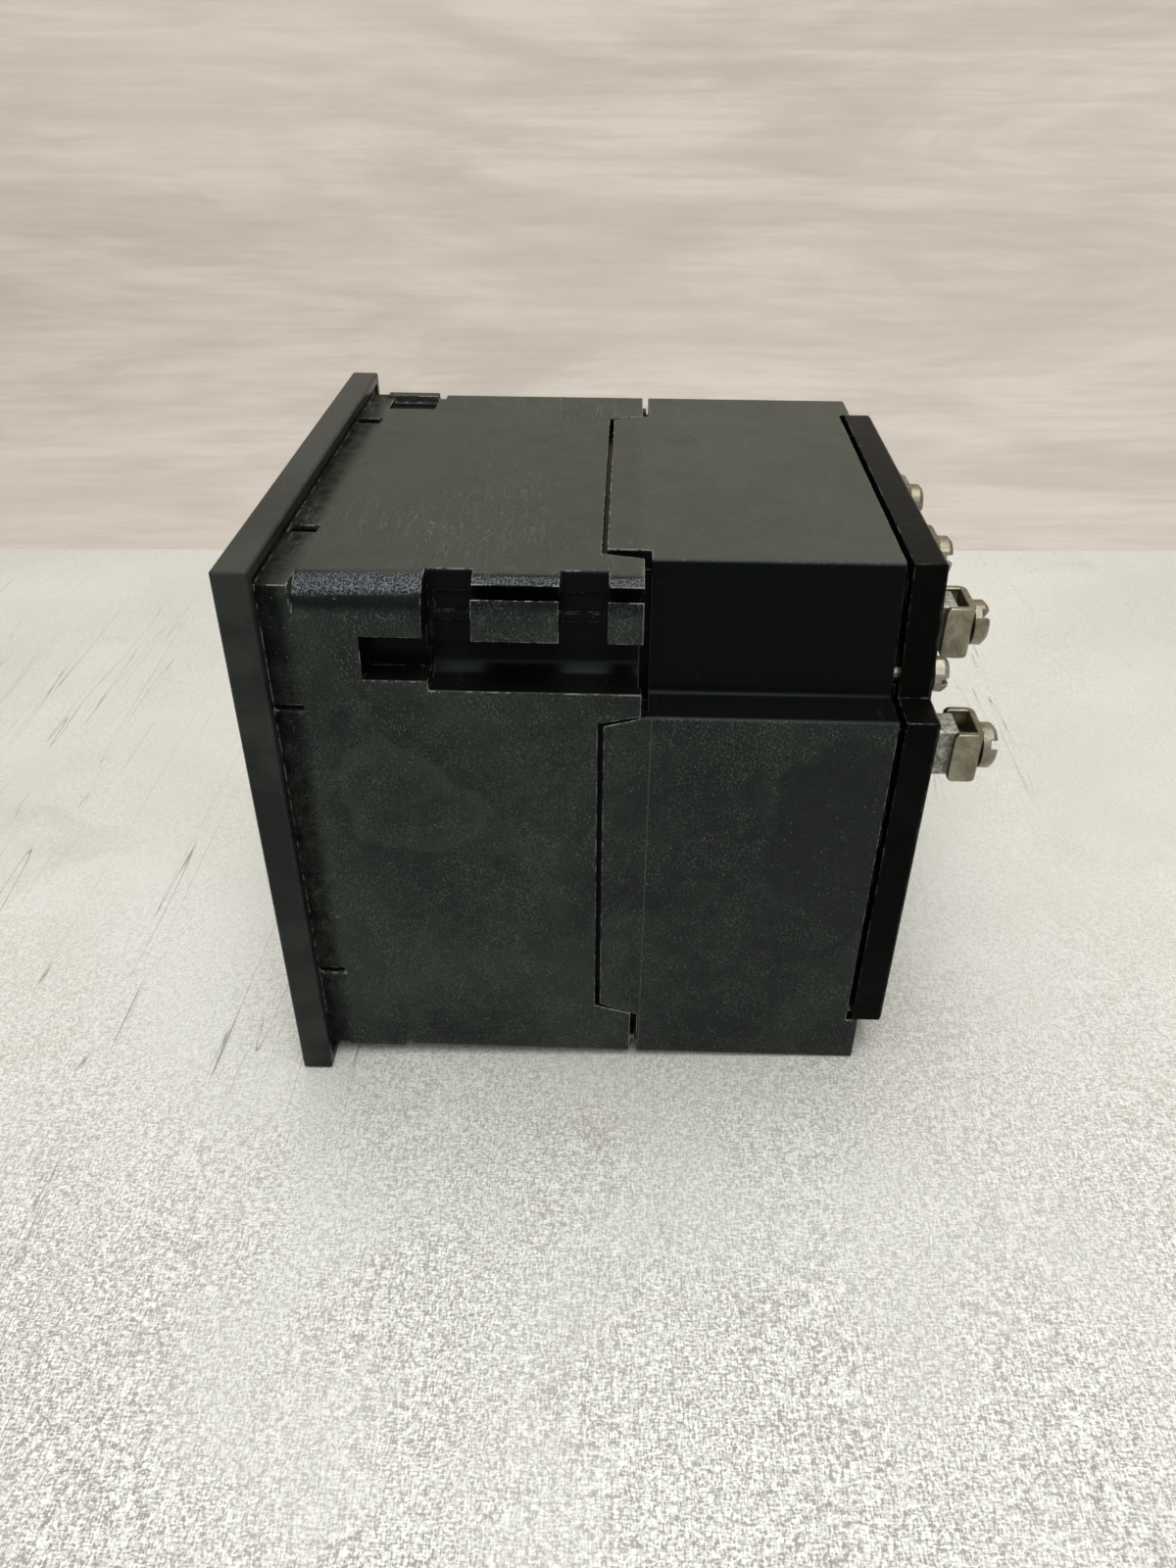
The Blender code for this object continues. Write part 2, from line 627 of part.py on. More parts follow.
def rounded(corners):
    """A closed outline from (u, v, radius) corners, with an arc where the radius is not zero."""
    points = []
    count = len(corners)
    for i, (u, v, radius) in enumerate(corners):
        corner = Vector((u, v))
        if not radius:
            points.append((u, v))
            continue
        before = (Vector(corners[i - 1][:2]) - corner).normalized()
        after = (Vector(corners[(i + 1) % count][:2]) - corner).normalized()
        half = before.angle(after) / 2
        centre = corner + (before + after).normalized() * radius / math.sin(half)
        start = corner + before * radius / math.tan(half) - centre
        sweep = start.angle_signed(corner + after * radius / math.tan(half) - centre)
        steps = max(2, round(abs(sweep) / ARC_STEP))
        for step in range(steps + 1):
            points.append(tuple(centre + Matrix.Rotation(-sweep * step / steps, 2) @ start))
    return points


def inset(points, distance):
    """An outline, listed anticlockwise, moved in by a wall's thickness with mitred corners."""
    moved = []
    count = len(points)
    for i in range(count):
        here = Vector(points[i])
        along = (here - Vector(points[i - 1])).normalized()
        ahead = (Vector(points[(i + 1) % count]) - here).normalized()
        normal = Vector((-along.y, along.x)) + Vector((-ahead.y, ahead.x))
        moved.append(tuple(here + normal * distance / (1 + along.dot(ahead))))
    return moved


def arc(centre, radius, start, end):
    """Points on a circle between two angles, ends included."""
    steps = max(1, round(abs(end - start) / ARC_STEP))
    angles = [start + (end - start) * i / steps for i in range(steps + 1)]
    return [(centre[0] + radius * math.cos(a), centre[1] + radius * math.sin(a)) for a in angles]


def square(half, corner=0):
    return rounded([(half, -half, corner), (half, half, corner),
                    (-half, half, corner), (-half, -half, corner)])


def case_outline(plain_corner=0):
    """The case's square section, with rounded edges at the two corners that hold no clamp."""
    half = CASE_HALF
    return rounded([(half, -half, plain_corner), (half, half, 0),
                    (-half, half, plain_corner), (-half, -half, 0)])


def notched_corners(edge=0, plain=0, corner_notch=0, fillet=0):
    """Corners of the section behind the clamps: a slanted notch at two corners, repeated a half turn on."""
    half = CASE_HALF
    if corner_notch:
        step = half - corner_notch
        first = [(step, -half, 0), (step, -step, fillet), (half, -step, 0)]
    else:
        first = [(half, -half, plain)]
    first += [(half, NOTCH_FLOOR_Z, edge), (NOTCH_FLOOR_X, NOTCH_FLOOR_Z, edge), (NOTCH_TOP_X, half, edge)]
    return first + [(-u, -v, radius) for u, v, radius in first]


def plain_points(corners):
    return [(u, v) for u, v, radius in corners]


def cheese_head(name, radius, head_radius, head, shank, slot, crown_share=0.0, facing=1):
    """A slotted screw on the y axis: its head starts at y zero and faces the rear, or the front."""
    crown = head * crown_share
    profile = [(0, head), (head_radius * (1 - crown_share / 2), head), (head_radius, head - crown),
               (head_radius, 0), (radius, 0), (radius, -shank), (0, -shank)]
    if not crown_share:
        del profile[1]
    if facing < 0:
        profile = [(r, -y) for r, y in reversed(profile)]
    screw = turned(name, profile, sides=SMALL_ROUND)
    reach = head_radius + OVERRUN
    floor, top = sorted((facing * head * (1 - SCREW_SLOT_DEPTH_SHARE), facing * (head + OVERRUN)))
    cut(screw, box(name + "_slot", (-reach, floor, -slot / 2), (reach, top, slot / 2)))
    return screw


def shift(obj, y):
    obj.location.y += y
    for modifier in obj.modifiers:
        if modifier.type == "BOOLEAN":
            modifier.object.location.y += y
    return obj


def pair(x, z):
    """A place and the one that it takes when turned half round the y axis."""
    return [(x, z), (-x, -z)]


def four(x, z):
    return [(x, z), (-x, z), (-x, -z), (x, -z)]


def build_bezel():
    """Moulded frame that covers the case's flange and holds the glass behind its lip."""
    half = BEZEL_SIDE / 2
    bezel = box("bezel", (-half, 0, -half), (half, BEZEL_DEPTH, half), finish=BLACK_SATIN)
    bevel(bezel, BEZEL_EDGE, 2)
    slope = (WINDOW_FLARE / BEZEL_LIP) * (BEZEL_LIP + OVERRUN * 2)
    inner = WINDOW_HALF - WINDOW_FLARE * OVERRUN / BEZEL_LIP
    opening = rod("bezel_window", (inner + slope) * math.sqrt(2), -OVERRUN, BEZEL_LIP + OVERRUN,
                  sides=4, end_radius=inner * math.sqrt(2))
    opening.data.transform(Matrix.Rotation(math.pi / 4, 4, "Y"))
    cavity = box("bezel_cavity", (-BEZEL_CAVITY, BEZEL_LIP, -BEZEL_CAVITY),
                 (BEZEL_CAVITY, BEZEL_DEPTH + OVERRUN, BEZEL_CAVITY))
    cut(bezel, opening, cavity)
    return bezel


def build_glass():
    half = BEZEL_CAVITY - GAP * 2
    return box("window_glass", (-half, GLASS_FRONT, -half), (half, GLASS_FRONT + GLASS_THICKNESS, half),
               finish=CLEAR_GLASS)


def build_seal():
    """Rubber ring that the glass presses on the case's front rim."""
    outer = CASE_HALF - FLANGE_ROOT - GAP
    return outline_solid("window_seal", [square(outer), square(outer - SEAL_WIDTH)], "y",
                         SEAT_FLOOR - GAP - SEAL_THICKNESS, SEAT_FLOOR - GAP, finish=SOFT_RUBBER)


def tongue_ends(side):
    """Where a tongue of the rear case ends across its wall, at the tip and at the root."""
    if side == "top":
        clamp, clamp_draw = NOTCH_TOP_X, TOP_TONGUE_CLAMP_DRAW
        plain, plain_draw = CASE_HALF - TOP_TONGUE_PLAIN_INSET, TOP_TONGUE_PLAIN_DRAW
    else:
        clamp, clamp_draw = NOTCH_FLOOR_Z, SIDE_TONGUE_CLAMP_DRAW
        plain, plain_draw = CASE_HALF - SIDE_TONGUE_PLAIN_INSET, SIDE_TONGUE_PLAIN_DRAW
    return (clamp - clamp_draw, clamp), (plain_draw - plain, -plain)


def wall_slab(name, side, rings, low, parent):
    """Outlines drawn on the top or the side wall, as (across, y) points, cut in from outside to low."""
    high = CASE_HALF + OVERRUN
    if side == "top":
        return outline_solid(name, rings, "z", low, high, parent=parent)
    turned_rings = [[(y, across) for across, y in ring] for ring in rings]
    return outline_solid(name, turned_rings, "x", low, high, parent=parent)


def tongue_recess(side, parent):
    """The bay in the front case's wall that a tongue of the rear case lies in."""
    (clamp_tip, clamp_root), (plain_tip, plain_root) = tongue_ends(side)
    front = TONGUE_TIP - TONGUE_TIP_SEAM
    rear = FRONT_CASE_END + OVERRUN
    bay = [(plain_tip - TONGUE_SEAM, front), (clamp_tip + TONGUE_SEAM, front),
           (clamp_root + TONGUE_SEAM, rear), (plain_root - TONGUE_SEAM, rear)]
    return wall_slab("bay_" + side, side, [bay], INNER_HALF - GAP / 2, parent)


def tongue_surround(side, parent):
    """What is cut from the rear case's wall beside its tongue."""
    (clamp_tip, clamp_root), (plain_tip, plain_root) = tongue_ends(side)
    front = TONGUE_TIP - OVERRUN
    outside = CASE_HALF + OVERRUN
    clamp_side = [(clamp_tip, front), (outside, front), (outside, REAR_CASE_START),
                  (clamp_root, REAR_CASE_START), (clamp_tip, TONGUE_TIP)]
    plain_side = [(plain_tip, front), (plain_tip, TONGUE_TIP), (plain_root, REAR_CASE_START),
                  (-outside, REAR_CASE_START), (-outside, front)]
    return wall_slab("surround_" + side, side, [clamp_side, plain_side], INNER_HALF - OVERRUN, parent)


def clamp_corner_cutters(parent):
    """Everything that is open in a clamp corner: rounded edge, pocket, channel, hook windows and slot."""
    half = CASE_HALF
    outside = half + OVERRUN
    centre = (half - CLAMP_RADIUS, half - CLAMP_RADIUS)
    rear = FRONT_CASE_END + OVERRUN
    edge = arc(centre, CLAMP_RADIUS, 0, math.pi / 2)
    edge += [(centre[0], outside), (outside, outside), (outside, centre[1])]
    rounding = outline_solid("corner_rounding", [edge], "y", NECK_END, rear, parent=parent)

    ceiling = half - CHANNEL_DROP
    floor = ceiling - CHANNEL_HEIGHT
    wall = half - CHANNEL_DEPTH
    section = rounded([(outside, floor, 0), (outside, ceiling, 0), (wall, ceiling, 0),
                       (wall, floor, CHANNEL_FILLET)])
    channel = outline_solid("clamp_channel", [section], "y", CHANNEL_START, rear, parent=parent)

    top = half - POCKET_DROP
    pocket_end = CHANNEL_START + GAP
    pocket = box("clamp_pocket", (half - POCKET_DEPTH, POCKET_START, top - POCKET_HEIGHT),
                 (outside, pocket_end, top), parent)

    inner = half - WINDOW_DEPTH
    windows = [box("hook_window", (inner, start, ceiling - CHANNEL_HEIGHT / 2),
                   (outside, start + WINDOW_LENGTH, outside), parent) for start in WINDOW_STARTS]

    web_top = ceiling + WEB_THICKNESS
    roof = half - TOP_WALL
    inside = CLAMP_RADIUS - STRIP_THICKNESS
    beyond = CLAMP_RADIUS + OVERRUN
    low_angle, high_angle = SLOT_ANGLES
    start_angle = math.asin((web_top - centre[1]) / inside)
    depth = inner - SLOT_EXTRA_DEPTH
    bite = [(depth, web_top)] + arc(centre, inside, start_angle, low_angle)
    bite += arc(centre, beyond, low_angle, high_angle)
    bite += [(centre[0] + (roof - centre[1]) / math.tan(high_angle), roof), (depth, roof)]
    slot = outline_solid("hook_slot", [bite], "y", pocket_end + GAP, rear, parent=parent)
    return [rounding, channel, pocket, slot, *windows]


def plain_corner_cutters(parent):
    """The sunk pad and the notch on the top wall, beside a corner that holds no clamp."""
    half = CASE_HALF
    outside = half + OVERRUN
    pad = box("sunk_pad", (-half + PAD_INSET, PAD_START, half - PAD_SINK),
              (-half + PAD_INSET + PAD_WIDTH, PAD_END, outside), parent)
    notch = box("edge_notch", (-outside, PAD_END - GAP, half - NOTCH_SINK),
                (-half + PAD_INSET + GAP, EDGE_NOTCH_END, outside), parent)
    return [pad, notch]


def latch_box(name, side, place, width, low, high, start, end, parent):
    """A narrow box along y on the top or the side wall, at a place across it."""
    near, far = place - width / 2, place + width / 2
    if side == "top":
        return box(name, (near, start, low), (far, end, high), parent)
    return box(name, (low, start, near), (high, end, far), parent)


def front_shell():
    """The front half's flange and square shell, with the seat for the seal."""
    case = outline_solid("front_case", [case_outline(CASE_EDGE)], "y", FLANGE_REAR - FLANGE_ROOT,
                         FRONT_CASE_END, finish=BLACK_MOULDING)
    flange = box("flange", (-FLANGE_HALF, FLANGE_FRONT, -FLANGE_HALF),
                 (FLANGE_HALF, FLANGE_REAR, FLANGE_HALF))
    join(case, flange)
    seat = CASE_HALF - FLANGE_ROOT
    cut(case, box("seal_seat", (-seat, FLANGE_FRONT - OVERRUN, -seat), (seat, SEAT_FLOOR, seat)))
    fillet = CLAMP_RADIUS - CASE_WALL
    cavity = rounded([(INNER_HALF, -INNER_HALF, 0), (INNER_HALF, INNER_HALF, fillet),
                      (-INNER_HALF, INNER_HALF, 0), (-INNER_HALF, -INNER_HALF, fillet)])
    cut(case, outline_solid("case_cavity", [cavity], "y", FLANGE_FRONT - OVERRUN, FRONT_CASE_END + OVERRUN))
    return case


def join_blocks(case):
    """Solid clamp corners, bosses for the long screws, and bosses for the movement."""
    buried = INNER_HALF + BURY
    for parent in HALVES:
        join(case, box("clamp_block", (CASE_HALF - CORNER_BLOCK_WIDTH, CORNER_BLOCK_START,
                                       CASE_HALF - CORNER_BLOCK_HEIGHT),
                       (buried, FRONT_CASE_END - CORNER_BLOCK_SHORT, buried), parent))
        inner = CASE_HALF - CASE_POST_WIDTH
        join(case, box("case_boss", (-buried, CASE_BOSS_START, inner),
                       (-inner, FRONT_CASE_END - CORNER_BLOCK_SHORT, buried), parent))
        for z in (MOVEMENT_SCREW_Z, -MOVEMENT_SCREW_Z):
            rear = PLATE_FACE - GAP
            join(case, box("movement_boss", (MOVEMENT_SCREW_X - MOVEMENT_BOSS_HALF,
                                             rear - MOVEMENT_BOSS_LENGTH, z - MOVEMENT_BOSS_HALF),
                           (buried, rear, z + MOVEMENT_BOSS_HALF), parent))


def join_spigot(case):
    """The ring that enters the rear half, and the root that ties it to the walls."""
    root_end = SPIGOT_ROOT_START + SPIGOT_ROOT_LENGTH
    root_outer = INNER_HALF + BURY / 2
    join(case, outline_solid("spigot_root", [square(root_outer), square(root_outer - SPIGOT_ROOT_WIDTH)],
                             "y", SPIGOT_ROOT_START, root_end))
    section = plain_points(notched_corners())
    spigot = [inset(section, CASE_WALL + GAP), inset(section, CASE_WALL + GAP + SPIGOT_THICKNESS)]
    join(case, outline_solid("spigot", spigot, "y", SPIGOT_START, SPIGOT_START + SPIGOT_LENGTH))


def build_front_case():
    """Moulded front half, cut open at its clamp corners, plain corners, latches and screw holes."""
    case = front_shell()
    join_blocks(case)
    join_spigot(case)
    for parent in HALVES:
        for side, width in LATCH_WIDTHS:
            for place in LATCH_PLACES:
                rib = place - (width + LATCH_RIB) / 2
                join(case, latch_box("latch_rib", side, rib, LATCH_RIB, CASE_HALF - LATCH_SINK / 2,
                                     CASE_HALF + LATCH_RISE, FLANGE_REAR + GAP * 2, LATCH_END, parent))
        lip = box("edge_lip", (-CASE_HALF + LIP_RISE / 2, NECK_END - LIP_LEAD, CASE_HALF - LIP_ROOT),
                  (-CASE_HALF + PAD_INSET + GAP, PAD_END, CASE_HALF + LIP_RISE), parent)
        key = box("seam_key", (-CASE_HALF + GAP, FRONT_CASE_END - BURY, INNER_HALF - BURY),
                  (BURY - INNER_HALF, REAR_CASE_START - GAP, CASE_HALF - SEAM_KEY_DROP), parent)
        join(case, lip, key)
        cut(case, *clamp_corner_cutters(parent), *plain_corner_cutters(parent))
        cut(case, tongue_recess("top", parent), tongue_recess("side", parent))
        for side, width in LATCH_WIDTHS:
            for place in LATCH_PLACES:
                cut(case, latch_box("latch_slit", side, place, width, CASE_HALF - LATCH_SINK,
                                    CASE_HALF + OVERRUN, FLANGE_REAR + GAP / 2, LATCH_END - GAP, parent))
        hole = CASE_SCREW_RADIUS + HOLE_CLEARANCE
        cut(case, rod("case_screw_hole", hole, CASE_SCREW_TIP - OVERRUN, FRONT_CASE_END + OVERRUN,
                      -CASE_SCREW_PLACE, CASE_SCREW_PLACE, SMALL_ROUND, parent=parent))
        cut(case, rod("movement_screw_hole", MOVEMENT_SCREW_RADIUS + HOLE_CLEARANCE,
                      PLATE_FACE + MOVEMENT_SHEET - MOVEMENT_SCREW_LENGTH, PLATE_FACE + OVERRUN,
                      MOVEMENT_SCREW_X, MOVEMENT_SCREW_Z, SMALL_ROUND, parent=parent))
    return case


def build_rear_case():
    """Moulded rear half: notched shell whose four tongues lie in the front half's walls."""
    rear = REAR_CASE_END + LUG_RISE
    outer = rounded(notched_corners(NOTCH_EDGE, CASE_EDGE))
    inner = inset(plain_points(notched_corners()), CASE_WALL)
    case = outline_solid("rear_case", [outer, inner], "y", TONGUE_TIP, rear, finish=BLACK_MOULDING)
    outside = CASE_HALF + OVERRUN
    lug = CASE_HALF - PLATE_NOTCH + GAP
    keep_lugs = [(lug, -outside), (lug, -lug), (outside, -lug), (outside, outside),
                 (-lug, outside), (-lug, lug), (-outside, lug), (-outside, -outside)]
    cut(case, outline_solid("rear_face_cut", [keep_lugs], "y", REAR_CASE_END, rear + OVERRUN))
    for parent in HALVES:
        cut(case, tongue_surround("top", parent), tongue_surround("side", parent))
        corner_low = NOTCH_TOP_X - CASE_WALL - OVERRUN / 2
        low = (corner_low, TONGUE_TIP - OVERRUN, NOTCH_FLOOR_Z - CASE_WALL - GAP * 2)
        cut(case, box("notch_wall_cut", low, (INNER_HALF + GAP, REAR_CASE_START, outside), parent))
        buried = INNER_HALF + BURY
        post = CASE_HALF - CASE_POST_WIDTH
        start = SPIGOT_START + SPIGOT_LENGTH + GAP
        join(case, box("case_post", (-buried, start, post), (-post, REAR_CASE_END - CASE_POST_RECESS, buried),
                       parent))
        cut(case, rod("case_screw_bore", CASE_SCREW_RADIUS + HOLE_CLEARANCE, start - OVERRUN,
                      rear, -CASE_SCREW_PLACE, CASE_SCREW_PLACE, SMALL_ROUND, parent=parent))
        post_end = PLATE_FRONT - PLATE_STEP
        for x, z in ((PLATE_SCREW_X, PLATE_SCREW_Z), (-PLATE_SCREW_X, PLATE_SCREW_Z)):
            join(case, rod("plate_post", PLATE_POST_RADIUS, post_end - PLATE_POST_LENGTH, post_end, x, z,
                           SMALL_ROUND, parent=parent))
        join(case, box("plate_post_rib", (-buried, post_end - PLATE_POST_LENGTH + GAP,
                                          PLATE_SCREW_Z - PLATE_POST_RIB / 2),
                       (-PLATE_SCREW_X, post_end - GAP, PLATE_SCREW_Z + PLATE_POST_RIB / 2), parent))
        for x, z in ((PLATE_SCREW_X, PLATE_SCREW_Z), (-PLATE_SCREW_X, PLATE_SCREW_Z)):
            cut(case, rod("plate_screw_bore", PLATE_SCREW_RADIUS + HOLE_CLEARANCE,
                          PLATE_REAR - PLATE_SCREW_DEPTH - GAP, REAR_CASE_END + OVERRUN, x, z, SMALL_ROUND,
                          parent=parent))
    return case


def build_rear_plate():
    """Terminal plate that closes the rear case: a step fits inside it, and four pillars carry the board."""
    corners = notched_corners(0, 0, PLATE_NOTCH, PLATE_NOTCH_FILLET)
    plate = outline_solid("rear_plate", [rounded(corners)], "y", PLATE_FRONT, PLATE_REAR, finish=BLACK_SATIN)
    chamfer_rear(plate, PLATE_EDGE)
    step = inset(plain_points(notched_corners(0, 0, PLATE_STEP_NOTCH)), CASE_WALL + GAP)
    join(plate, outline_solid("plate_step", [step], "y", PLATE_FRONT - PLATE_STEP + GAP,
                              PLATE_FRONT + PLATE_EDGE * 2))
    front = PLATE_FRONT - PLATE_STEP - OVERRUN
    for x, z in four(PLATE_SCREW_X, PLATE_SCREW_Z):
        cut(plate, rod("plate_screw_hole", PLATE_SCREW_RADIUS + HOLE_CLEARANCE, front, PLATE_REAR + OVERRUN,
                       x, z, SMALL_ROUND))
    for x, z, backed_off in TERMINALS:
        cut(plate, rod("thread_hole", TERMINAL_THREAD_RADIUS + HOLE_CLEARANCE,
                       PLATE_REAR - TERMINAL_BORE_REACH, PLATE_REAR + OVERRUN, x, z, SMALL_ROUND))
        half_width = TAG_WIDTH / 2 + GAP
        half_sheet = TAG_THICKNESS / 2 + GAP
        tag = z - TAG_OFFSET - TAG_THICKNESS / 2
        cut(plate, box("tag_slot", (x - half_width, front, tag - half_sheet),
                       (x + half_width, PLATE_REAR + OVERRUN, tag + half_sheet)))
    bore = BOARD_SCREW_RADIUS + HOLE_CLEARANCE
    for x, z in four(BOARD_PILLAR_X, BOARD_PILLAR_Z):
        join(plate, rod("board_pillar", BOARD_PILLAR_RADIUS, BOARD_REAR + GAP, PLATE_FRONT, x, z,
                        SMALL_ROUND))
    for x, z in BOARD_PLACES:
        cut(plate, rod("board_pillar_bore", bore, BOARD_REAR - OVERRUN, BOARD_FACE + BOARD_SCREW_LENGTH + GAP,
                       x, z, SMALL_ROUND))
    return plate


def build_case_screws():
    """Four screws through the rear plate, and two long ones that draw the two cases together."""
    screw = cheese_head("plate_screw", PLATE_SCREW_RADIUS, PLATE_SCREW_HEAD_RADIUS, PLATE_SCREW_HEAD,
                        PLATE_SCREW_DEPTH, SCREW_SLOT, SCREW_CROWN_SHARE)
    shift(screw, PLATE_REAR + GAP)
    copies("plate_screw", screw, four(PLATE_SCREW_X, PLATE_SCREW_Z), ZINC_STEEL)
    under_head = REAR_CASE_END - CASE_POST_RECESS + GAP
    screw = cheese_head("case_screw", CASE_SCREW_RADIUS, CASE_SCREW_HEAD_RADIUS, CASE_SCREW_HEAD,
                        under_head - CASE_SCREW_TIP, SCREW_SLOT)
    shift(screw, under_head)
    place = CASE_SCREW_PLACE
    copies("case_screw", screw, [(-place, place), (place, -place)], ZINC_STEEL)


def saddle_ring():
    """End view of a saddle, across and along y from its rear face: a strip bent down at both sides."""
    half = SADDLE_WIDTH / 2
    inner = half - SADDLE_SHEET
    bend = SADDLE_BEND
    fold = SADDLE_BEND - SADDLE_SHEET
    return rounded([(-half, -SADDLE_CHEEK, 0), (-inner, -SADDLE_CHEEK, 0), (-inner, -SADDLE_SHEET, fold),
                    (inner, -SADDLE_SHEET, fold), (inner, -SADDLE_CHEEK, 0), (half, -SADDLE_CHEEK, 0),
                    (half, 0, bend), (-half, 0, bend)])


def build_terminal(number, x, z, backed_off, slot_turn):
    """One saddle-clamp terminal: contact block, saddle and screw, the last two on the screw's axis."""
    block = box(f"contact_block_{number}", (x - BLOCK_WIDTH / 2, PLATE_REAR + GAP, z - BLOCK_LENGTH / 2),
                (x + BLOCK_WIDTH / 2, BLOCK_REAR, z + BLOCK_LENGTH / 2), finish=CAST_NICKEL)
    bevel(block, BLOCK_EDGE)
    tag = z - TAG_OFFSET
    join(block, box("tag", (x - TAG_WIDTH / 2, PLATE_REAR - TAG_REACH, tag - TAG_THICKNESS),
                    (x + TAG_WIDTH / 2, PLATE_REAR + BLOCK_HEIGHT / 2, tag)))
    cut(block, rod("block_thread", TERMINAL_THREAD_RADIUS + HOLE_CLEARANCE / 2, PLATE_REAR - OVERRUN,
                   BLOCK_REAR + OVERRUN, x, z, SMALL_ROUND))

    rear = SADDLE_REAR + backed_off
    axis = new_empty(f"terminal_axis_{number}", instrument, (x, rear, z))
    saddle = outline_solid(f"saddle_{number}", [saddle_ring()], "z", -SADDLE_LENGTH / 2, SADDLE_LENGTH / 2,
                           parent=axis, finish=NICKEL)
    cut(saddle, rod("saddle_hole", TERMINAL_THREAD_RADIUS + HOLE_CLEARANCE, -SADDLE_SHEET - OVERRUN, OVERRUN,
                    sides=SMALL_ROUND, parent=axis))
    side_view = rounded([(-SADDLE_CHEEK, -SADDLE_LENGTH / 2, SADDLE_CORNER), (OVERRUN, -SADDLE_LENGTH / 2, 0),
                         (OVERRUN, SADDLE_LENGTH / 2, 0), (-SADDLE_CHEEK, SADDLE_LENGTH / 2, SADDLE_CORNER)])
    corners = outline_solid("saddle_corners", [side_view], "x", -SADDLE_WIDTH, SADDLE_WIDTH, parent=axis)
    combine(saddle, corners, "INTERSECT")

    crown = TERMINAL_HEAD_RADIUS - TERMINAL_CROWN
    head = GAP + TERMINAL_HEAD
    profile = [(0, head), (crown, head), (TERMINAL_HEAD_RADIUS, head - TERMINAL_CROWN),
               (TERMINAL_HEAD_RADIUS, GAP), (TERMINAL_THREAD_RADIUS, GAP),
               (TERMINAL_THREAD_RADIUS, -TERMINAL_SHANK), (0, -TERMINAL_SHANK)]
    screw = turned(f"terminal_screw_{number}", profile, parent=axis, finish=NICKEL)
    reach = TERMINAL_HEAD_RADIUS + OVERRUN
    floor = head - TERMINAL_HEAD * SCREW_SLOT_DEPTH_SHARE
    slot = box("terminal_slot", (-reach, floor, -TERMINAL_SLOT / 2),
               (reach, head + OVERRUN, TERMINAL_SLOT / 2), axis)
    slot.data.transform(Matrix.Rotation(-slot_turn, 4, "Y"))
    cut(screw, slot)


def build_dial():
    """Dial sheet and its two screws."""
    hole = arc((0, 0), DIAL_HOLE_RADIUS, 0, math.tau)[1:]
    dial = outline_solid("dial_plate", [square(DIAL_HALF, DIAL_CORNER), hole], "y", DIAL_FACE,
                         DIAL_FACE + DIAL_THICKNESS, finish=DIAL_WHITE)
    for x, z in DIAL_PLACES:
        cut(dial, rod("dial_screw_hole", DIAL_SCREW_RADIUS + HOLE_CLEARANCE, DIAL_FACE - OVERRUN,
                      DIAL_FACE + OVERRUN, x, z, SMALL_ROUND))
    screw = cheese_head("dial_screw", DIAL_SCREW_RADIUS, DIAL_SCREW_HEAD_RADIUS, DIAL_SCREW_HEAD,
                        DIAL_SCREW_LENGTH, SCREW_SLOT, facing=-1)
    shift(screw, DIAL_FACE - GAP)
    copies("dial_screw", screw, DIAL_PLACES, BRASS)


def build_pointer():
    """Arrow that turns in front of the dial, with its hub, on the spindle's axis."""
    bar = POINTER_BAR_WIDTH / 2
    neck = POINTER_REACH - POINTER_HEAD_LENGTH
    tail_top = POINTER_TAIL_LENGTH - POINTER_TAIL
    half_tail = POINTER_TAIL_WIDTH / 2
    half_head = POINTER_HEAD_WIDTH / 2
    right = [(half_tail, -POINTER_TAIL), (half_tail, tail_top), (bar, tail_top + half_tail - bar),
             (bar, neck), (half_head, neck - POINTER_BARB)]
    arrow = right + [(0, POINTER_REACH)] + [(-x, z) for x, z in reversed(right)]
    hole = arc((0, 0), POINTER_NECK_RADIUS + GAP, 0, math.tau)[1:]
    back = POINTER_FACE + POINTER_THICKNESS
    pointer = outline_solid("pointer", [arrow], "y", POINTER_FACE, back, parent=pointer_axis,
                            finish=POINTER_RED)
    join(pointer, rod("pointer_eye", POINTER_HUB_RADIUS, POINTER_FACE - GAP / 2, back + GAP / 2,
                      parent=pointer_axis))
    cut(pointer, outline_solid("pointer_hole", [hole], "y", POINTER_FACE - OVERRUN, back + OVERRUN,
                               parent=pointer_axis))

    bore = SPINDLE_RADIUS + GAP
    flange_front = back + GAP / 2 + GAP
    flange_rear = flange_front + POINTER_HUB_FLANGE
    neck_front = POINTER_FACE - POINTER_NECK_RISE
    turned("pointer_hub", [(POINTER_HUB_RADIUS, flange_rear), (POINTER_HUB_RADIUS, flange_front),
                           (POINTER_NECK_RADIUS, flange_front), (POINTER_NECK_RADIUS, neck_front),
                           (bore, neck_front), (bore, flange_rear)],
           closed=True, parent=pointer_axis, finish=BRASS)


def build_spindle():
    """Steel spindle: it runs in the front bush and ends in a fine pivot in the rear jewel screw."""
    end = JEWEL_FRONT + PIVOT_LENGTH
    taper = JEWEL_FRONT - GAP
    turned("spindle", [(0, end), (PIVOT_RADIUS, end), (PIVOT_RADIUS, taper),
                       (SPINDLE_RADIUS, taper - PIVOT_TAPER), (SPINDLE_RADIUS, SPINDLE_FRONT),
                       (0, SPINDLE_FRONT)],
           parent=pointer_axis, finish=STEEL)


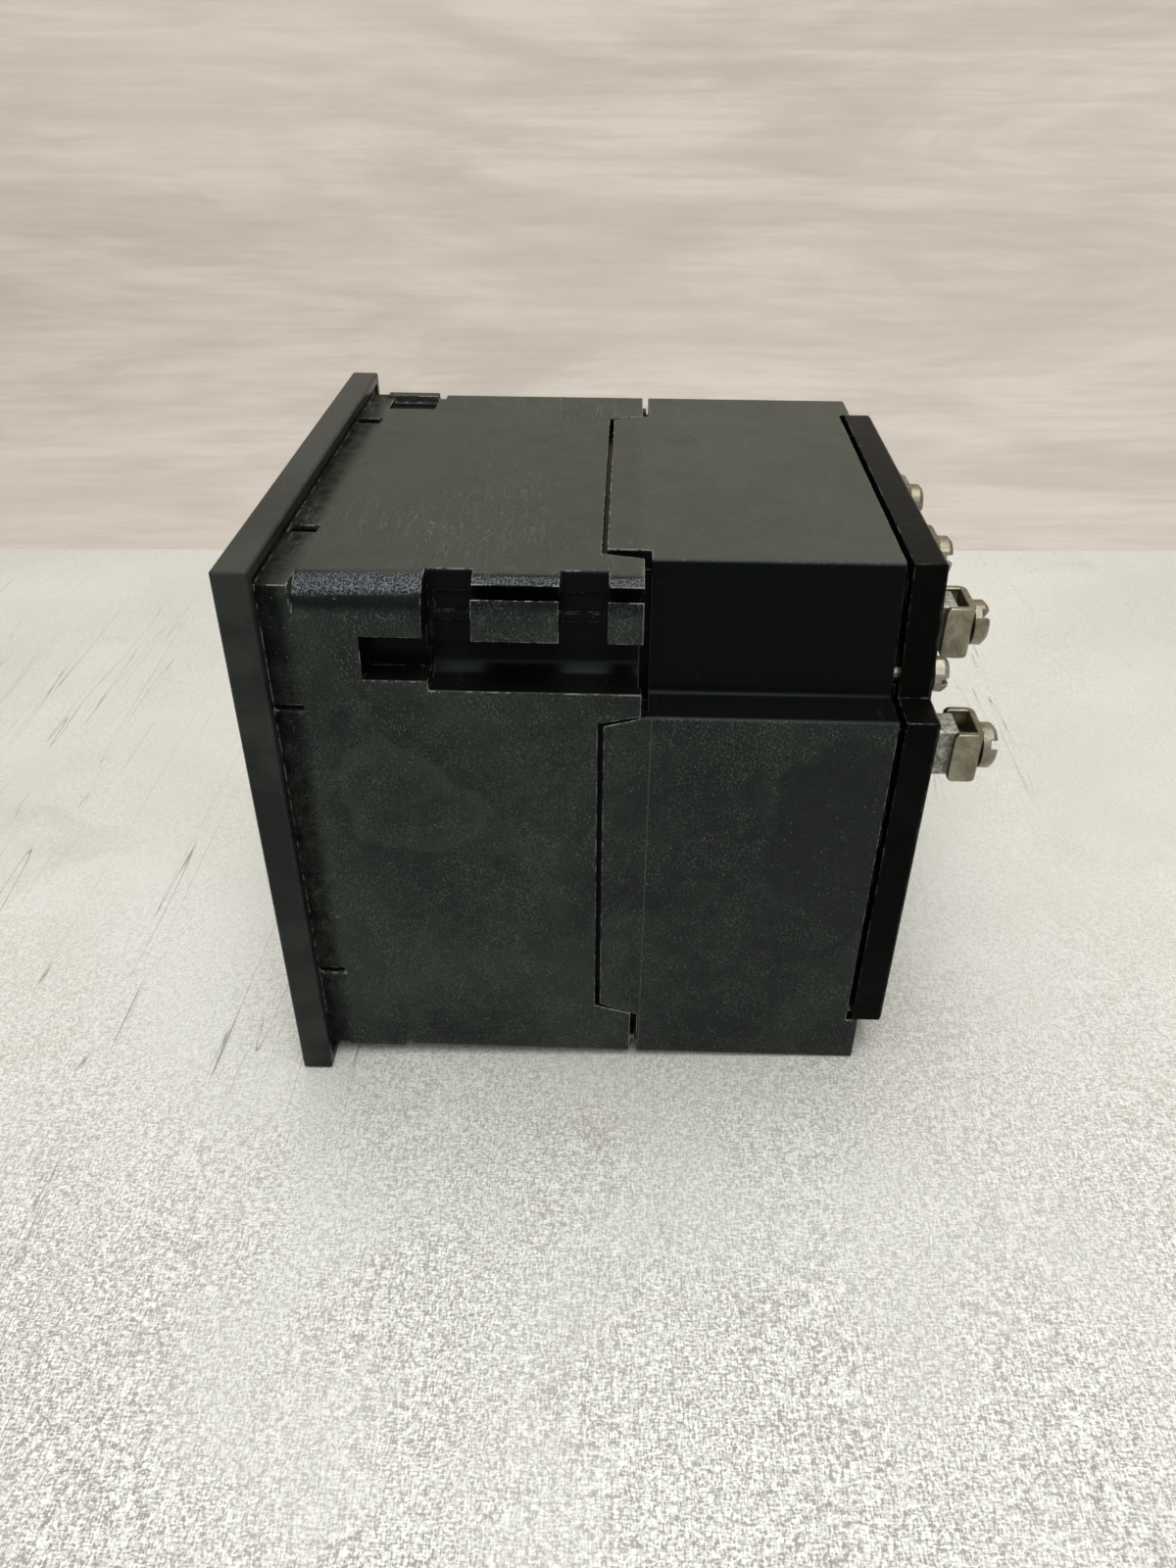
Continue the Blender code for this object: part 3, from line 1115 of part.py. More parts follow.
def build_bearings():
    """Front bush in the movement plate and rear jewel screw in the bridge, with its lock nut."""
    flange_front = PLATE_FACE - GAP - BUSH_FLANGE
    bore = SPINDLE_RADIUS + RUNNING_FIT
    turned("front_bush", [(BUSH_RADIUS, flange_front + BUSH_LENGTH), (BUSH_RADIUS, PLATE_FACE - GAP),
                          (BUSH_FLANGE_RADIUS, PLATE_FACE - GAP), (BUSH_FLANGE_RADIUS, flange_front),
                          (bore, flange_front), (bore, flange_front + BUSH_LENGTH)],
           closed=True, finish=BRASS)
    cup = PIVOT_RADIUS + RUNNING_FIT
    depth = JEWEL_FRONT + PIVOT_LENGTH + END_PLAY
    end = BRIDGE_FACE + JEWEL_REACH
    turned("rear_jewel_screw", [(0, end), (JEWEL_RADIUS, end), (JEWEL_RADIUS, JEWEL_FRONT),
                                (cup, JEWEL_FRONT), (cup, depth), (0, depth)], finish=BRASS)
    nut_front = BRIDGE_FACE + BRIDGE_SHEET + GAP
    hexagon = [(JEWEL_NUT_RADIUS * math.cos(a), JEWEL_NUT_RADIUS * math.sin(a))
               for a in (math.tau * i / NUT_SIDES for i in range(NUT_SIDES))]
    outline_solid("jewel_lock_nut", [hexagon, arc((0, 0), JEWEL_RADIUS + GAP, 0, math.tau)[1:]], "y",
                  nut_front, nut_front + JEWEL_NUT, finish=BRASS)


def pillar(name, radius, start, end, bore, bottom, x, z, shoulder=None):
    """A pillar along y with a screw hole in its end, and a wider foot up to the shoulder if it has one."""
    profile = [(radius, start)]
    if shoulder:
        foot = radius + PILLAR_SHOULDER
        profile = [(radius, shoulder), (foot, shoulder), (foot, start)]
    profile = [(0, bottom), (bore, bottom), (bore, end), (radius, end)] + profile + [(0, start)]
    return turned(name, profile, x, z, SMALL_ROUND)


def build_movement_plate():
    """Flat plate that carries the whole movement: its pillars are riveted in and count as one with it."""
    half, reach = MOVEMENT_HALF, MOVEMENT_EAR_REACH
    outline = [(reach, -half), (reach, half), (-reach, half), (-reach, -half)]
    rear = PLATE_FACE + MOVEMENT_SHEET
    plate = outline_solid("movement_plate", [outline, arc((0, 0), BUSH_RADIUS + GAP, 0, math.tau)[1:]],
                          "y", PLATE_FACE, rear, finish=BRASS)
    far = reach + OVERRUN
    for x, z in four(1, 1):
        corner = rounded([(half, MOVEMENT_EAR_HALF, MOVEMENT_CORNER), (far, MOVEMENT_EAR_HALF, 0),
                          (far, far, 0), (half, far, 0)])
        cut(plate, outline_solid("ear_corner", [[(x * u, z * v) for u, v in corner]], "y",
                                 PLATE_FACE - OVERRUN, rear + OVERRUN))
    for x, z in pair(MOVEMENT_SCREW_X, MOVEMENT_SCREW_Z):
        cut(plate, rod("plate_hole", MOVEMENT_SCREW_RADIUS + HOLE_CLEARANCE, PLATE_FACE - OVERRUN,
                       rear + OVERRUN, x, z, SMALL_ROUND))
    middle = PLATE_FACE + MOVEMENT_SHEET / 2
    bore = BRIDGE_SCREW_RADIUS + HOLE_CLEARANCE
    shoulder = STATOR_FRONT - GAP
    for x, z in pair(PILLAR_PLACE, PILLAR_PLACE):
        end = BRIDGE_FACE - GAP
        bottom = BRIDGE_FACE + BRIDGE_SHEET - BRIDGE_SCREW_LENGTH - GAP
        join(plate, pillar("bridge_pillar", PILLAR_RADIUS, middle, end, bore, bottom, x, z, shoulder))
    for x, z in pair(PILLAR_PLACE, -PILLAR_PLACE):
        end = STATOR_REAR + PILLAR_END
        join(plate, pillar("stator_pillar", PILLAR_RADIUS, middle, end, bore, end - PILLAR_END, x, z,
                           shoulder))
    bore = DIAL_SCREW_RADIUS + HOLE_CLEARANCE
    for x, z in DIAL_PLACES:
        foot = turned("dial_pillar", dial_pillar_profile(middle, bore), x, z, SMALL_ROUND)
        join(plate, foot)
    screw = cheese_head("movement_screw", MOVEMENT_SCREW_RADIUS, MOVEMENT_SCREW_HEAD_RADIUS,
                        MOVEMENT_SCREW_HEAD, MOVEMENT_SCREW_LENGTH, SCREW_SLOT)
    shift(screw, rear + GAP)
    copies("movement_screw", screw, pair(MOVEMENT_SCREW_X, MOVEMENT_SCREW_Z), ZINC_STEEL)


def dial_pillar_profile(rear, bore):
    """The pillar that a dial screw enters from the front."""
    front = DIAL_FACE + DIAL_THICKNESS + GAP
    bottom = DIAL_FACE + DIAL_SCREW_LENGTH + GAP
    return [(0, rear), (DIAL_PILLAR_RADIUS, rear), (DIAL_PILLAR_RADIUS, front), (bore, front), (bore, bottom),
            (0, bottom)]


def build_bridge():
    """Bar behind the rotor on two of the pillars, with the screws that hold it."""
    across = BRIDGE_ARM_HALF
    angle = math.asin(across / BRIDGE_HUB_RADIUS)
    reach = BRIDGE_ARM_REACH
    outline = [(reach, -across, across), (reach, across, across)]
    outline += [(x, z, 0) for x, z in arc((0, 0), BRIDGE_HUB_RADIUS, angle, math.pi - angle)]
    outline += [(-reach, across, across), (-reach, -across, across)]
    outline += [(x, z, 0) for x, z in arc((0, 0), BRIDGE_HUB_RADIUS, math.pi + angle, math.tau - angle)]
    turn = Matrix.Rotation(math.pi / 4, 2)
    bar = [tuple(turn @ Vector(point)) for point in rounded(outline)]
    bridge = outline_solid("rear_bridge", [bar, arc((0, 0), JEWEL_RADIUS + GAP, 0, math.tau)[1:]], "y",
                           BRIDGE_FACE, BRIDGE_FACE + BRIDGE_SHEET, finish=BRASS)
    places = pair(PILLAR_PLACE, PILLAR_PLACE)
    for x, z in places:
        cut(bridge, rod("bridge_hole", BRIDGE_SCREW_RADIUS + HOLE_CLEARANCE, BRIDGE_FACE - OVERRUN,
                        BRIDGE_FACE + BRIDGE_SHEET + OVERRUN, x, z, SMALL_ROUND))
    screw = cheese_head("bridge_screw", BRIDGE_SCREW_RADIUS, BRIDGE_SCREW_HEAD_RADIUS, BRIDGE_SCREW_HEAD,
                        BRIDGE_SCREW_LENGTH, SCREW_SLOT)
    shift(screw, BRIDGE_FACE + BRIDGE_SHEET + GAP)
    copies("bridge_screw", screw, places, ZINC_STEEL)


def stator_bore():
    """The stator's inner outline: poles with shoes that reach in from the yoke."""
    inner = STATOR_RADIUS - YOKE_THICKNESS
    half = POLE_WIDTH / 2
    root = math.asin(half / inner)
    shoe_back = POLE_FACE_RADIUS + POLE_SHOE
    neck = math.sqrt(shoe_back ** 2 - half ** 2)
    spacing = math.tau / POLE_COUNT
    points = []
    for pole in range(POLE_COUNT):
        middle = pole * spacing
        turn = Matrix.Rotation(middle, 2)
        shoulder = arc((0, 0), shoe_back, POLE_SHOE_ANGLE, POLE_SHOE_ANGLE)[0]
        points += arc((0, 0), inner, middle - spacing / 2, middle - root)[:-1]
        points += [tuple(turn @ Vector((inner * math.cos(root), -half))), tuple(turn @ Vector((neck, -half)))]
        points += [tuple(turn @ Vector((shoulder[0], -shoulder[1])))]
        points += arc((0, 0), POLE_FACE_RADIUS, middle - POLE_SHOE_ANGLE, middle + POLE_SHOE_ANGLE)
        points += [tuple(turn @ Vector(shoulder)), tuple(turn @ Vector((neck, half)))]
        points += [tuple(turn @ Vector((inner * math.cos(root), half)))]
        points += arc((0, 0), inner, middle + root, middle + spacing / 2)[1:-1]
    return points


def build_stator():
    """Laminated ring with six wound poles, carried on the bridge pillars by four lugs."""
    sides = BIG_ROUND
    ring = [(STATOR_RADIUS * math.cos(math.tau * i / sides), STATOR_RADIUS * math.sin(math.tau * i / sides))
            for i in range(sides)]
    core = outline_solid("stator_core", [ring, stator_bore()], "y", STATOR_FRONT, STATOR_REAR,
                         finish=SHEET_IRON)
    for x, z in four(PILLAR_PLACE, PILLAR_PLACE):
        join(core, rod("stator_lug", LUG_RADIUS, STATOR_FRONT + GAP, STATOR_REAR - GAP, x, z,
                       SMALL_ROUND))
    for x, z in four(PILLAR_PLACE, PILLAR_PLACE):
        cut(core, rod("stator_lug_bore", PILLAR_RADIUS + HOLE_CLEARANCE, STATOR_FRONT - OVERRUN,
                      STATOR_REAR + OVERRUN, x, z, SMALL_ROUND))

    half_pole = POLE_WIDTH / 2 + GAP
    half_stack = STATOR_LENGTH / 2 + GAP
    middle = (STATOR_FRONT + STATOR_REAR) / 2
    rings = []
    for build, corner in ((COIL_BUILD, COIL_CORNER), (0, 0)):
        u, v = half_stack + build, half_pole + build
        rings.append(rounded([(u, -v, corner), (u, v, corner), (-u, v, corner), (-u, -v, corner)]))
    for pole in range(POLE_COUNT):
        axis = new_empty(f"pole_axis_{pole + 1}", instrument, (0, middle, 0),
                         (0, -pole * math.tau / POLE_COUNT, 0))
        outline_solid(f"stator_coil_{pole + 1}", rings, "x", COIL_INNER_RADIUS, COIL_OUTER_RADIUS,
                      parent=axis, finish=COPPER_WIRE)


def build_polarising_coil():
    """Fixed bobbin inside the rotor, held by three arms that reach out between the stator coils."""
    front, rear = BOBBIN_FRONT, BOBBIN_REAR
    middle = (front + rear) / 2
    web_front, web_rear = middle - BOBBIN_WEB / 2, middle + BOBBIN_WEB / 2
    front_cheek, rear_cheek = front + BOBBIN_CHEEK, rear - BOBBIN_CHEEK
    profile = [(BOBBIN_RADIUS, rear), (BOBBIN_RADIUS, rear_cheek), (BARREL_RADIUS, rear_cheek),
               (BARREL_RADIUS, web_rear), (BOBBIN_RADIUS, web_rear), (BOBBIN_RADIUS, web_front),
               (BARREL_RADIUS, web_front), (BARREL_RADIUS, front_cheek), (BOBBIN_RADIUS, front_cheek),
               (BOBBIN_RADIUS, front), (BOBBIN_BORE, front), (BOBBIN_BORE, rear)]
    bobbin = turned("coil_bobbin", profile, closed=True, finish=BOBBIN_BROWN)
    reach = STATOR_RADIUS - YOKE_THICKNESS - GAP * 2
    half = SPIDER_ARM_WIDTH / 2
    sheet = BOBBIN_WEB / 2 - GAP / 2
    for arm in range(SPIDER_ARMS):
        angle = math.tau * arm / SPIDER_ARMS + math.pi / POLE_COUNT
        axis = new_empty(f"spider_axis_{arm + 1}", instrument, (0, middle, 0), (0, -angle, 0))
        join(bobbin, box("spider_arm", (BOBBIN_RADIUS - OVERRUN, -sheet, -half), (reach, sheet, half), axis))
    inner = BARREL_RADIUS + GAP
    outer = inner + WINDING_DEPTH
    for name, start, end in (("polarising_winding_front", front_cheek, web_front),
                             ("polarising_winding_rear", web_rear, rear_cheek)):
        turned(name, [(outer, end - GAP), (outer, start + GAP), (inner, start + GAP), (inner, end - GAP)],
               closed=True, finish=COPPER_WIRE)


def build_rotor_iron():
    """Soft iron hub with a vane at each end; the vanes' shoes point opposite ways round the fixed coil."""
    front, rear = ROTOR_FRONT, ROTOR_REAR
    bore = SPINDLE_RADIUS + GAP
    profile = [(ROTOR_HUB_RADIUS, rear), (ROTOR_HUB_RADIUS, front), (bore, front), (bore, rear)]
    hub = turned("rotor_iron", profile, closed=True, parent=pointer_axis, finish=SHEET_IRON)
    hub_bite = ROTOR_HUB_RADIUS - GAP
    middle = (front + rear) / 2
    for name, turn, start, end, shoe_start, shoe_end in (
            ("front", math.pi / 2, front + GAP, front + GAP + VANE_SHEET, front + GAP * 2,
             middle - VANE_MID_GAP / 2),
            ("rear", -math.pi / 2, rear - GAP - VANE_SHEET, rear - GAP, middle + VANE_MID_GAP / 2,
             rear - GAP * 2)):
        low, high = turn - VANE_HALF_ANGLE, turn + VANE_HALF_ANGLE
        web = VANE_RADIUS - VANE_SHOE / 2
        sector = arc((0, 0), web, low, high) + arc((0, 0), hub_bite, high, low)
        join(hub, outline_solid(name + "_vane", [sector], "y", start, end, parent=pointer_axis))
        margin = GAP / VANE_RADIUS
        shoe = arc((0, 0), VANE_RADIUS, low - margin, high + margin)
        shoe += arc((0, 0), VANE_RADIUS - VANE_SHOE, high + margin, low - margin)
        join(hub, outline_solid(name + "_shoe", [shoe], "y", shoe_start, shoe_end, parent=pointer_axis))


def build_board():
    """Component board on the rear plate's pillars, with its two screws and the series resistors."""
    u, v = BOARD_HALF_WIDTH, BOARD_HALF_HEIGHT
    board = outline_solid("component_board", [rounded([(u, -v, BOARD_CORNER), (u, v, BOARD_CORNER),
                                                       (-u, v, BOARD_CORNER), (-u, -v, BOARD_CORNER)])],
                          "y", BOARD_FACE, BOARD_REAR, finish=BOARD_TAN)
    for x, z in BOARD_PLACES:
        cut(board, rod("board_hole", BOARD_SCREW_RADIUS + HOLE_CLEARANCE, BOARD_FACE - OVERRUN,
                       BOARD_REAR + OVERRUN, x, z, SMALL_ROUND))
    screw = cheese_head("board_screw", BOARD_SCREW_RADIUS, BOARD_SCREW_HEAD_RADIUS, BOARD_SCREW_HEAD,
                        BOARD_SCREW_LENGTH, SCREW_SLOT, facing=-1)
    shift(screw, BOARD_FACE - GAP)
    copies("board_screw", screw, BOARD_PLACES, ZINC_STEEL)
    for number, (x, z) in enumerate(four(RESISTOR_X, RESISTOR_Z), 1):
        u, v = RESISTOR_LENGTH / 2, RESISTOR_SIDE / 2
        front = BOARD_REAR + GAP
        resistor = box(f"resistor_{number}", (x - u, front, z - v), (x + u, front + RESISTOR_SIDE, z + v),
                       finish=CERAMIC)
        bevel(resistor, RESISTOR_EDGE)


pointer_axis = new_empty("pointer_axis", parent=instrument)
build_bezel()
build_glass()
build_seal()
build_front_case()
build_rear_case()
build_rear_plate()
build_case_screws()
for number, (x, z, backed_off) in enumerate(TERMINALS, 1):
    build_terminal(number, x, z, backed_off, SLOT_TURNS[number - 1])
build_dial()
build_pointer()
build_spindle()
build_bearings()
build_movement_plate()
build_bridge()
build_stator()
build_polarising_coil()
build_rotor_iron()
build_board()
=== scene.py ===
"""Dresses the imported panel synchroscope: finishes, rounded edges, the dial's face, light and camera.

Places in the instrument are given as x across, y back from the bezel's front face and z up from its middle,
in metres. at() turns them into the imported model's frame.
"""
import json
import math

import bmesh
import bpy
from mathutils import Matrix, Vector


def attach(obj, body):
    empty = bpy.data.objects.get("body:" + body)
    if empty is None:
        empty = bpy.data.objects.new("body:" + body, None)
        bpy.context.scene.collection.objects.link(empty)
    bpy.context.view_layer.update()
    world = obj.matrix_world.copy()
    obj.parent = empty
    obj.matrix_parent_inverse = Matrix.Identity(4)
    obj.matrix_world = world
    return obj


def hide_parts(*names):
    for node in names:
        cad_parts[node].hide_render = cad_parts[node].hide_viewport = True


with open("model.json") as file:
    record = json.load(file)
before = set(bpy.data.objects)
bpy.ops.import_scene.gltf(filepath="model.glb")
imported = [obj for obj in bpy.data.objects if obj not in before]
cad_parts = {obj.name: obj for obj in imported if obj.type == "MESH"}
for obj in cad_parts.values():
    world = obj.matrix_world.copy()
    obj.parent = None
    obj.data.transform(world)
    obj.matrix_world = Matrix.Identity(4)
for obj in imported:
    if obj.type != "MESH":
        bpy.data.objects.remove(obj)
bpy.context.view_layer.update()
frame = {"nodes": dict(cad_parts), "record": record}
NODES = frame["nodes"]
SLOTS = {part["node"]: part["material_slot"] for part in frame["record"]["subparts"]}
BODY_OF = {n: body for body, members in frame["record"]["behaviour"]["bodies"].items() for n in members}

HALF_DEPTH = 0.056075           # from the bezel's front face to the middle of the whole depth
MID_HEIGHT = 0.048              # from the bezel's foot to its middle
CASE_HALF = 0.04475
CLAMP_RADIUS = 0.006
NECK_END = 0.00925              # where the case's clamp corners begin behind the bezel
MOULD_LINE = 0.0598
WIPED_PATCH = (CASE_HALF, 0.0235, 0.009)
GREASY_PATCH = (CASE_HALF, 0.0905, 0.004)


def at(x, y, z):
    """A place in the instrument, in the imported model's frame."""
    return Vector((x, y - HALF_DEPTH, z + MID_HEIGHT))


# Camera and stage

FLOOR_TILT = math.atan(0.0351)
FLOOR_TOUCH = at(0, 0.0051, -0.048)
WALL_X = -0.1815
WALL_TURN = math.radians(2.33)
STAGE_REACH = 1.6
WALL_PROFILE = ((0, 0), (0.02, 0.016), (0.042, 0.036), (0.058, 0.06), (0.066, 0.09), (0.068, 0.13),
                (0.068, 0.7))       # how far back the wall is, and how far above its foot
SIDE_LEVEL = 0.06
SKY_LEVEL = 0.7
BACKDROP_LEVEL = 0.55
LIGHT_COLOUR = (0.98, 0.985, 1, 1)
# Each lamp's name, place, target, size, power and colour.
LAMPS = (
    ("overhead", (0.2, 0.05, 1.25), (0, 0, 0), (1.3, 1.3), 5, (1, 0.99, 0.97)),
    ("tube", (0.12, 0.05, 1.2), (0, 0, 0), (0.13, 1.3), 3.4, (0.93, 0.97, 1)),
    ("wall_wash", (0.12, 0, 0.95), (-0.22, 0, 0.22), (0.4, 1.6), 5.3, (1, 0.97, 0.93)),
)
CAMERA_PLACE = (0.18902, 0.05518, 0.11265)
CAMERA_RIGHT = Vector((-0.03482325, 0.99938287, 0.00460574))
CAMERA_DOWN = Vector((0.56760609, 0.02357079, -0.82296278))
CAMERA_FORWARD = Vector((-0.82256347, -0.026044, -0.56807662))
SENSOR_WIDTH = 36
LENS = 26.685
NEAR_CLIP = 0.005


def build_camera():
    """The camera stands where the case's straight edges put it."""
    data = bpy.data.cameras.new("camera")
    data.sensor_width = SENSOR_WIDTH
    data.lens = LENS
    data.clip_start = NEAR_CLIP
    camera = bpy.data.objects.new("camera", data)
    turn = Matrix((CAMERA_RIGHT, -CAMERA_DOWN, -CAMERA_FORWARD)).transposed()
    camera.matrix_world = Matrix.Translation(at(*CAMERA_PLACE)) @ turn.to_4x4()
    bpy.context.scene.collection.objects.link(camera)
    bpy.context.scene.camera = camera


def sheet(name, rows, finish):
    """A piece of the stage, spanned between rows of two points each."""
    points = [point for row in rows for point in row]
    mesh = bpy.data.meshes.new(name)
    mesh.from_pydata(points, [], [(i, i + 1, i + 3, i + 2) for i in range(0, len(points) - 2, 2)])
    mesh.shade_smooth()
    mesh.materials.append(finish)
    obj = bpy.data.objects.new(name, mesh)
    bpy.context.scene.collection.objects.link(obj)


def build_stage():
    """A table that the instrument stands on, two degrees off level as there, and a wall beside it.

    The wall's foot is where the photograph shows it. Above that it curves back, clear of other views.
    """
    def floor_height(y):
        return FLOOR_TOUCH.z + (y - FLOOR_TOUCH.y) * math.tan(FLOOR_TILT)

    r = STAGE_REACH
    left = WALL_X - r * math.tan(WALL_TURN)
    right = WALL_X + r * math.tan(WALL_TURN)
    low, high = floor_height(-r), floor_height(r)
    sheet("table", [((left, -r, low), (right, r, high)), ((r, -r, low), (r, r, high))], table_finish())
    sheet("wall", [((left - back, -r, low + up), (right - back, r, high + up)) for back, up in WALL_PROFILE],
          wall_finish())


def lamp(name, place, target, size, power, colour):
    """A rectangular lamp that faces its target."""
    data = bpy.data.lights.new(name, "AREA")
    data.shape = "RECTANGLE"
    data.size, data.size_y = size
    data.energy = power
    data.color = colour
    obj = bpy.data.objects.new(name, data)
    obj.location = place
    obj.rotation_euler = (Vector(target) - Vector(place)).to_track_quat("-Z", "Y").to_euler()
    bpy.context.scene.collection.objects.link(obj)


def build_light():
    """Soft lamps overhead, and a surround that lights from above and looks pale, also in metal and glass."""
    world = bpy.data.worlds.new("surround")
    world.use_nodes = True
    tree = world.node_tree
    way = tree.nodes.new("ShaderNodeTexCoord")
    parts = tree.nodes.new("ShaderNodeSeparateXYZ")
    level = tree.nodes.new("ShaderNodeMapRange")
    level.inputs["To Min"].default_value = SIDE_LEVEL
    level.inputs["To Max"].default_value = SKY_LEVEL
    path = tree.nodes.new("ShaderNodeLightPath")
    shown = tree.nodes.new("ShaderNodeMath")
    shown.operation = "ADD"
    either = tree.nodes.new("ShaderNodeMath")
    either.operation = "ADD"
    either.use_clamp = True
    seen = tree.nodes.new("ShaderNodeMix")
    seen.inputs[3].default_value = BACKDROP_LEVEL
    background = tree.nodes["Background"]
    background.inputs["Color"].default_value = LIGHT_COLOUR
    tree.links.new(way.outputs["Generated"], parts.inputs[0])
    tree.links.new(parts.outputs["Z"], level.inputs["Value"])
    tree.links.new(path.outputs["Is Camera Ray"], shown.inputs[0])
    tree.links.new(path.outputs["Is Glossy Ray"], shown.inputs[1])
    tree.links.new(shown.outputs[0], either.inputs[0])
    tree.links.new(path.outputs["Is Transmission Ray"], either.inputs[1])
    tree.links.new(either.outputs[0], seen.inputs[0])
    tree.links.new(level.outputs["Result"], seen.inputs[2])
    tree.links.new(seen.outputs[0], background.inputs["Strength"])
    bpy.context.scene.world = world
    for settings in LAMPS:
        lamp(*settings)
    bpy.context.scene.view_settings.view_transform = "Standard"


# Material building blocks

class Finish:
    """A material whose nodes are added by short calls."""

    def __init__(self, name, colour=(0.5, 0.5, 0.5), roughness=0.5, metallic=0.0, **sockets):
        self.material = bpy.data.materials.new(name)
        self.material.use_nodes = True
        self.tree = self.material.node_tree
        self.shader = self.tree.nodes["Principled BSDF"]
        self.set(self.shader, **{"Base Color": (*colour, 1), "Roughness": roughness, "Metallic": metallic})
        self.set(self.shader, **sockets)
        self.place = self.add("ShaderNodeTexCoord").outputs["Object"]

    def add(self, kind, properties=None, **sockets):
        """A node with some of its properties and inputs set."""
        node = self.tree.nodes.new(kind)
        for key, value in (properties or {}).items():
            setattr(node, key, value)
        self.set(node, **sockets)
        return node

    def set(self, node, **sockets):
        """Links or sets inputs, by name or as i0, i1 and so on by place."""
        for key, value in sockets.items():
            socket = node.inputs[int(key[1:])] if key[0] == "i" and key[1:].isdigit() else node.inputs[key]
            if isinstance(value, bpy.types.NodeSocket):
                self.tree.links.new(value, socket)
            else:
                socket.default_value = value

    def math(self, operation, a, b=0.0, clamp=False):
        node = self.add("ShaderNodeMath", {"operation": operation, "use_clamp": clamp}, i0=a, i1=b)
        return node.outputs[0]

    def vector(self, operation, a, b=(0, 0, 0)):
        node = self.add("ShaderNodeVectorMath", {"operation": operation}, i0=a, i1=b)
        return node.outputs["Value" if operation in ("LENGTH", "DOT_PRODUCT", "DISTANCE") else "Vector"]

    def parts(self, vector):
        """A vector's x, y and z."""
        return self.add("ShaderNodeSeparateXYZ", Vector=vector).outputs[:3]

    def moved(self, offset=(0, 0, 0), turn=(0, 0, 0), scale=(1, 1, 1)):
        """The object's coordinates moved, turned and stretched."""
        node = self.add("ShaderNodeMapping", Location=offset, Rotation=turn, Scale=scale)
        self.tree.links.new(self.place, node.inputs["Vector"])
        return node.outputs["Vector"]

    def noise(self, scale, detail=2.0, roughness=0.5, vector=None, distortion=0.0):
        node = self.add("ShaderNodeTexNoise", Scale=scale, Detail=detail, Roughness=roughness,
                        Distortion=distortion)
        self.tree.links.new(vector or self.place, node.inputs["Vector"])
        return node.outputs["Fac"]

    def cells(self, scale, output, vector):
        return self.add("ShaderNodeTexVoronoi", Scale=scale, Vector=vector).outputs[output]

    def span(self, value, low, high, to_low=0.0, to_high=1.0, smooth=True):
        """A value carried from one range to another."""
        node = self.add("ShaderNodeMapRange", {"interpolation_type": "SMOOTHSTEP" if smooth else "LINEAR"},
                        Value=value)
        node.inputs["From Min"].default_value = low
        node.inputs["From Max"].default_value = high
        node.inputs["To Min"].default_value = to_low
        node.inputs["To Max"].default_value = to_high
        return node.outputs["Result"]

    def mix(self, amount, a, b):
        """Colour a turning into colour b by an amount."""
        node = self.add("ShaderNodeMix", {"data_type": "RGBA"})
        self.set(node, i0=amount)
        for socket, value in ((node.inputs[6], a), (node.inputs[7], b)):
            if isinstance(value, bpy.types.NodeSocket):
                self.tree.links.new(value, socket)
            else:
                socket.default_value = (*value, 1)
        return node.outputs[2]

    def specks(self, scale, size, share, offset=(0, 0, 0)):
        """Small separate dots: cells of a size, of which only a share holds a dot."""
        vector = self.moved(offset)
        dot = self.span(self.cells(scale, "Distance", vector), size * 0.6, size, 1, 0)
        pick = self.add("ShaderNodeSeparateColor", Color=self.cells(scale, "Color", vector))
        return self.math("MULTIPLY", dot, self.math("LESS_THAN", pick.outputs[0], share))

    def scratches(self, turn, scale, stretch, width, share=0.5, offset=(0, 0, 0)):
        """Fine lines that run one way, broken up so that few of them are long."""
        vector = self.moved(offset, turn, (scale / stretch, scale, scale))
        line = self.math("ABSOLUTE", self.math("SUBTRACT", self.noise(1, 3, 0.6, vector, 0.6), 0.5))
        line = self.span(line, 0, width, 1, 0)
        patch = self.noise(scale * 0.035, 2, 0.5, self.moved(offset))
        patch = self.span(patch, 1 - share - 0.06, 1 - share + 0.06)
        return self.math("MULTIPLY", line, patch)

    def edges(self, radius, low=0.004, high=0.09):
        """Where the surface turns sharply within a radius, and the normal rounded over it."""
        bevel = self.add("ShaderNodeBevel", {"samples": 6}, Radius=radius).outputs["Normal"]
        normal = self.add("ShaderNodeNewGeometry").outputs["Normal"]
        turn = self.math("SUBTRACT", 1, self.vector("DOT_PRODUCT", bevel, normal))
        return self.span(turn, low, high), bevel

    def bump(self, height, strength, distance, normal=None):
        node = self.add("ShaderNodeBump", Strength=strength, Distance=distance, Height=height)
        if normal is not None:
            self.tree.links.new(normal, node.inputs["Normal"])
        return node.outputs["Normal"]

    def wear(self, **sockets):
        """The finished material, with the shader's inputs set."""
        self.set(self.shader, **sockets)
        return self.material


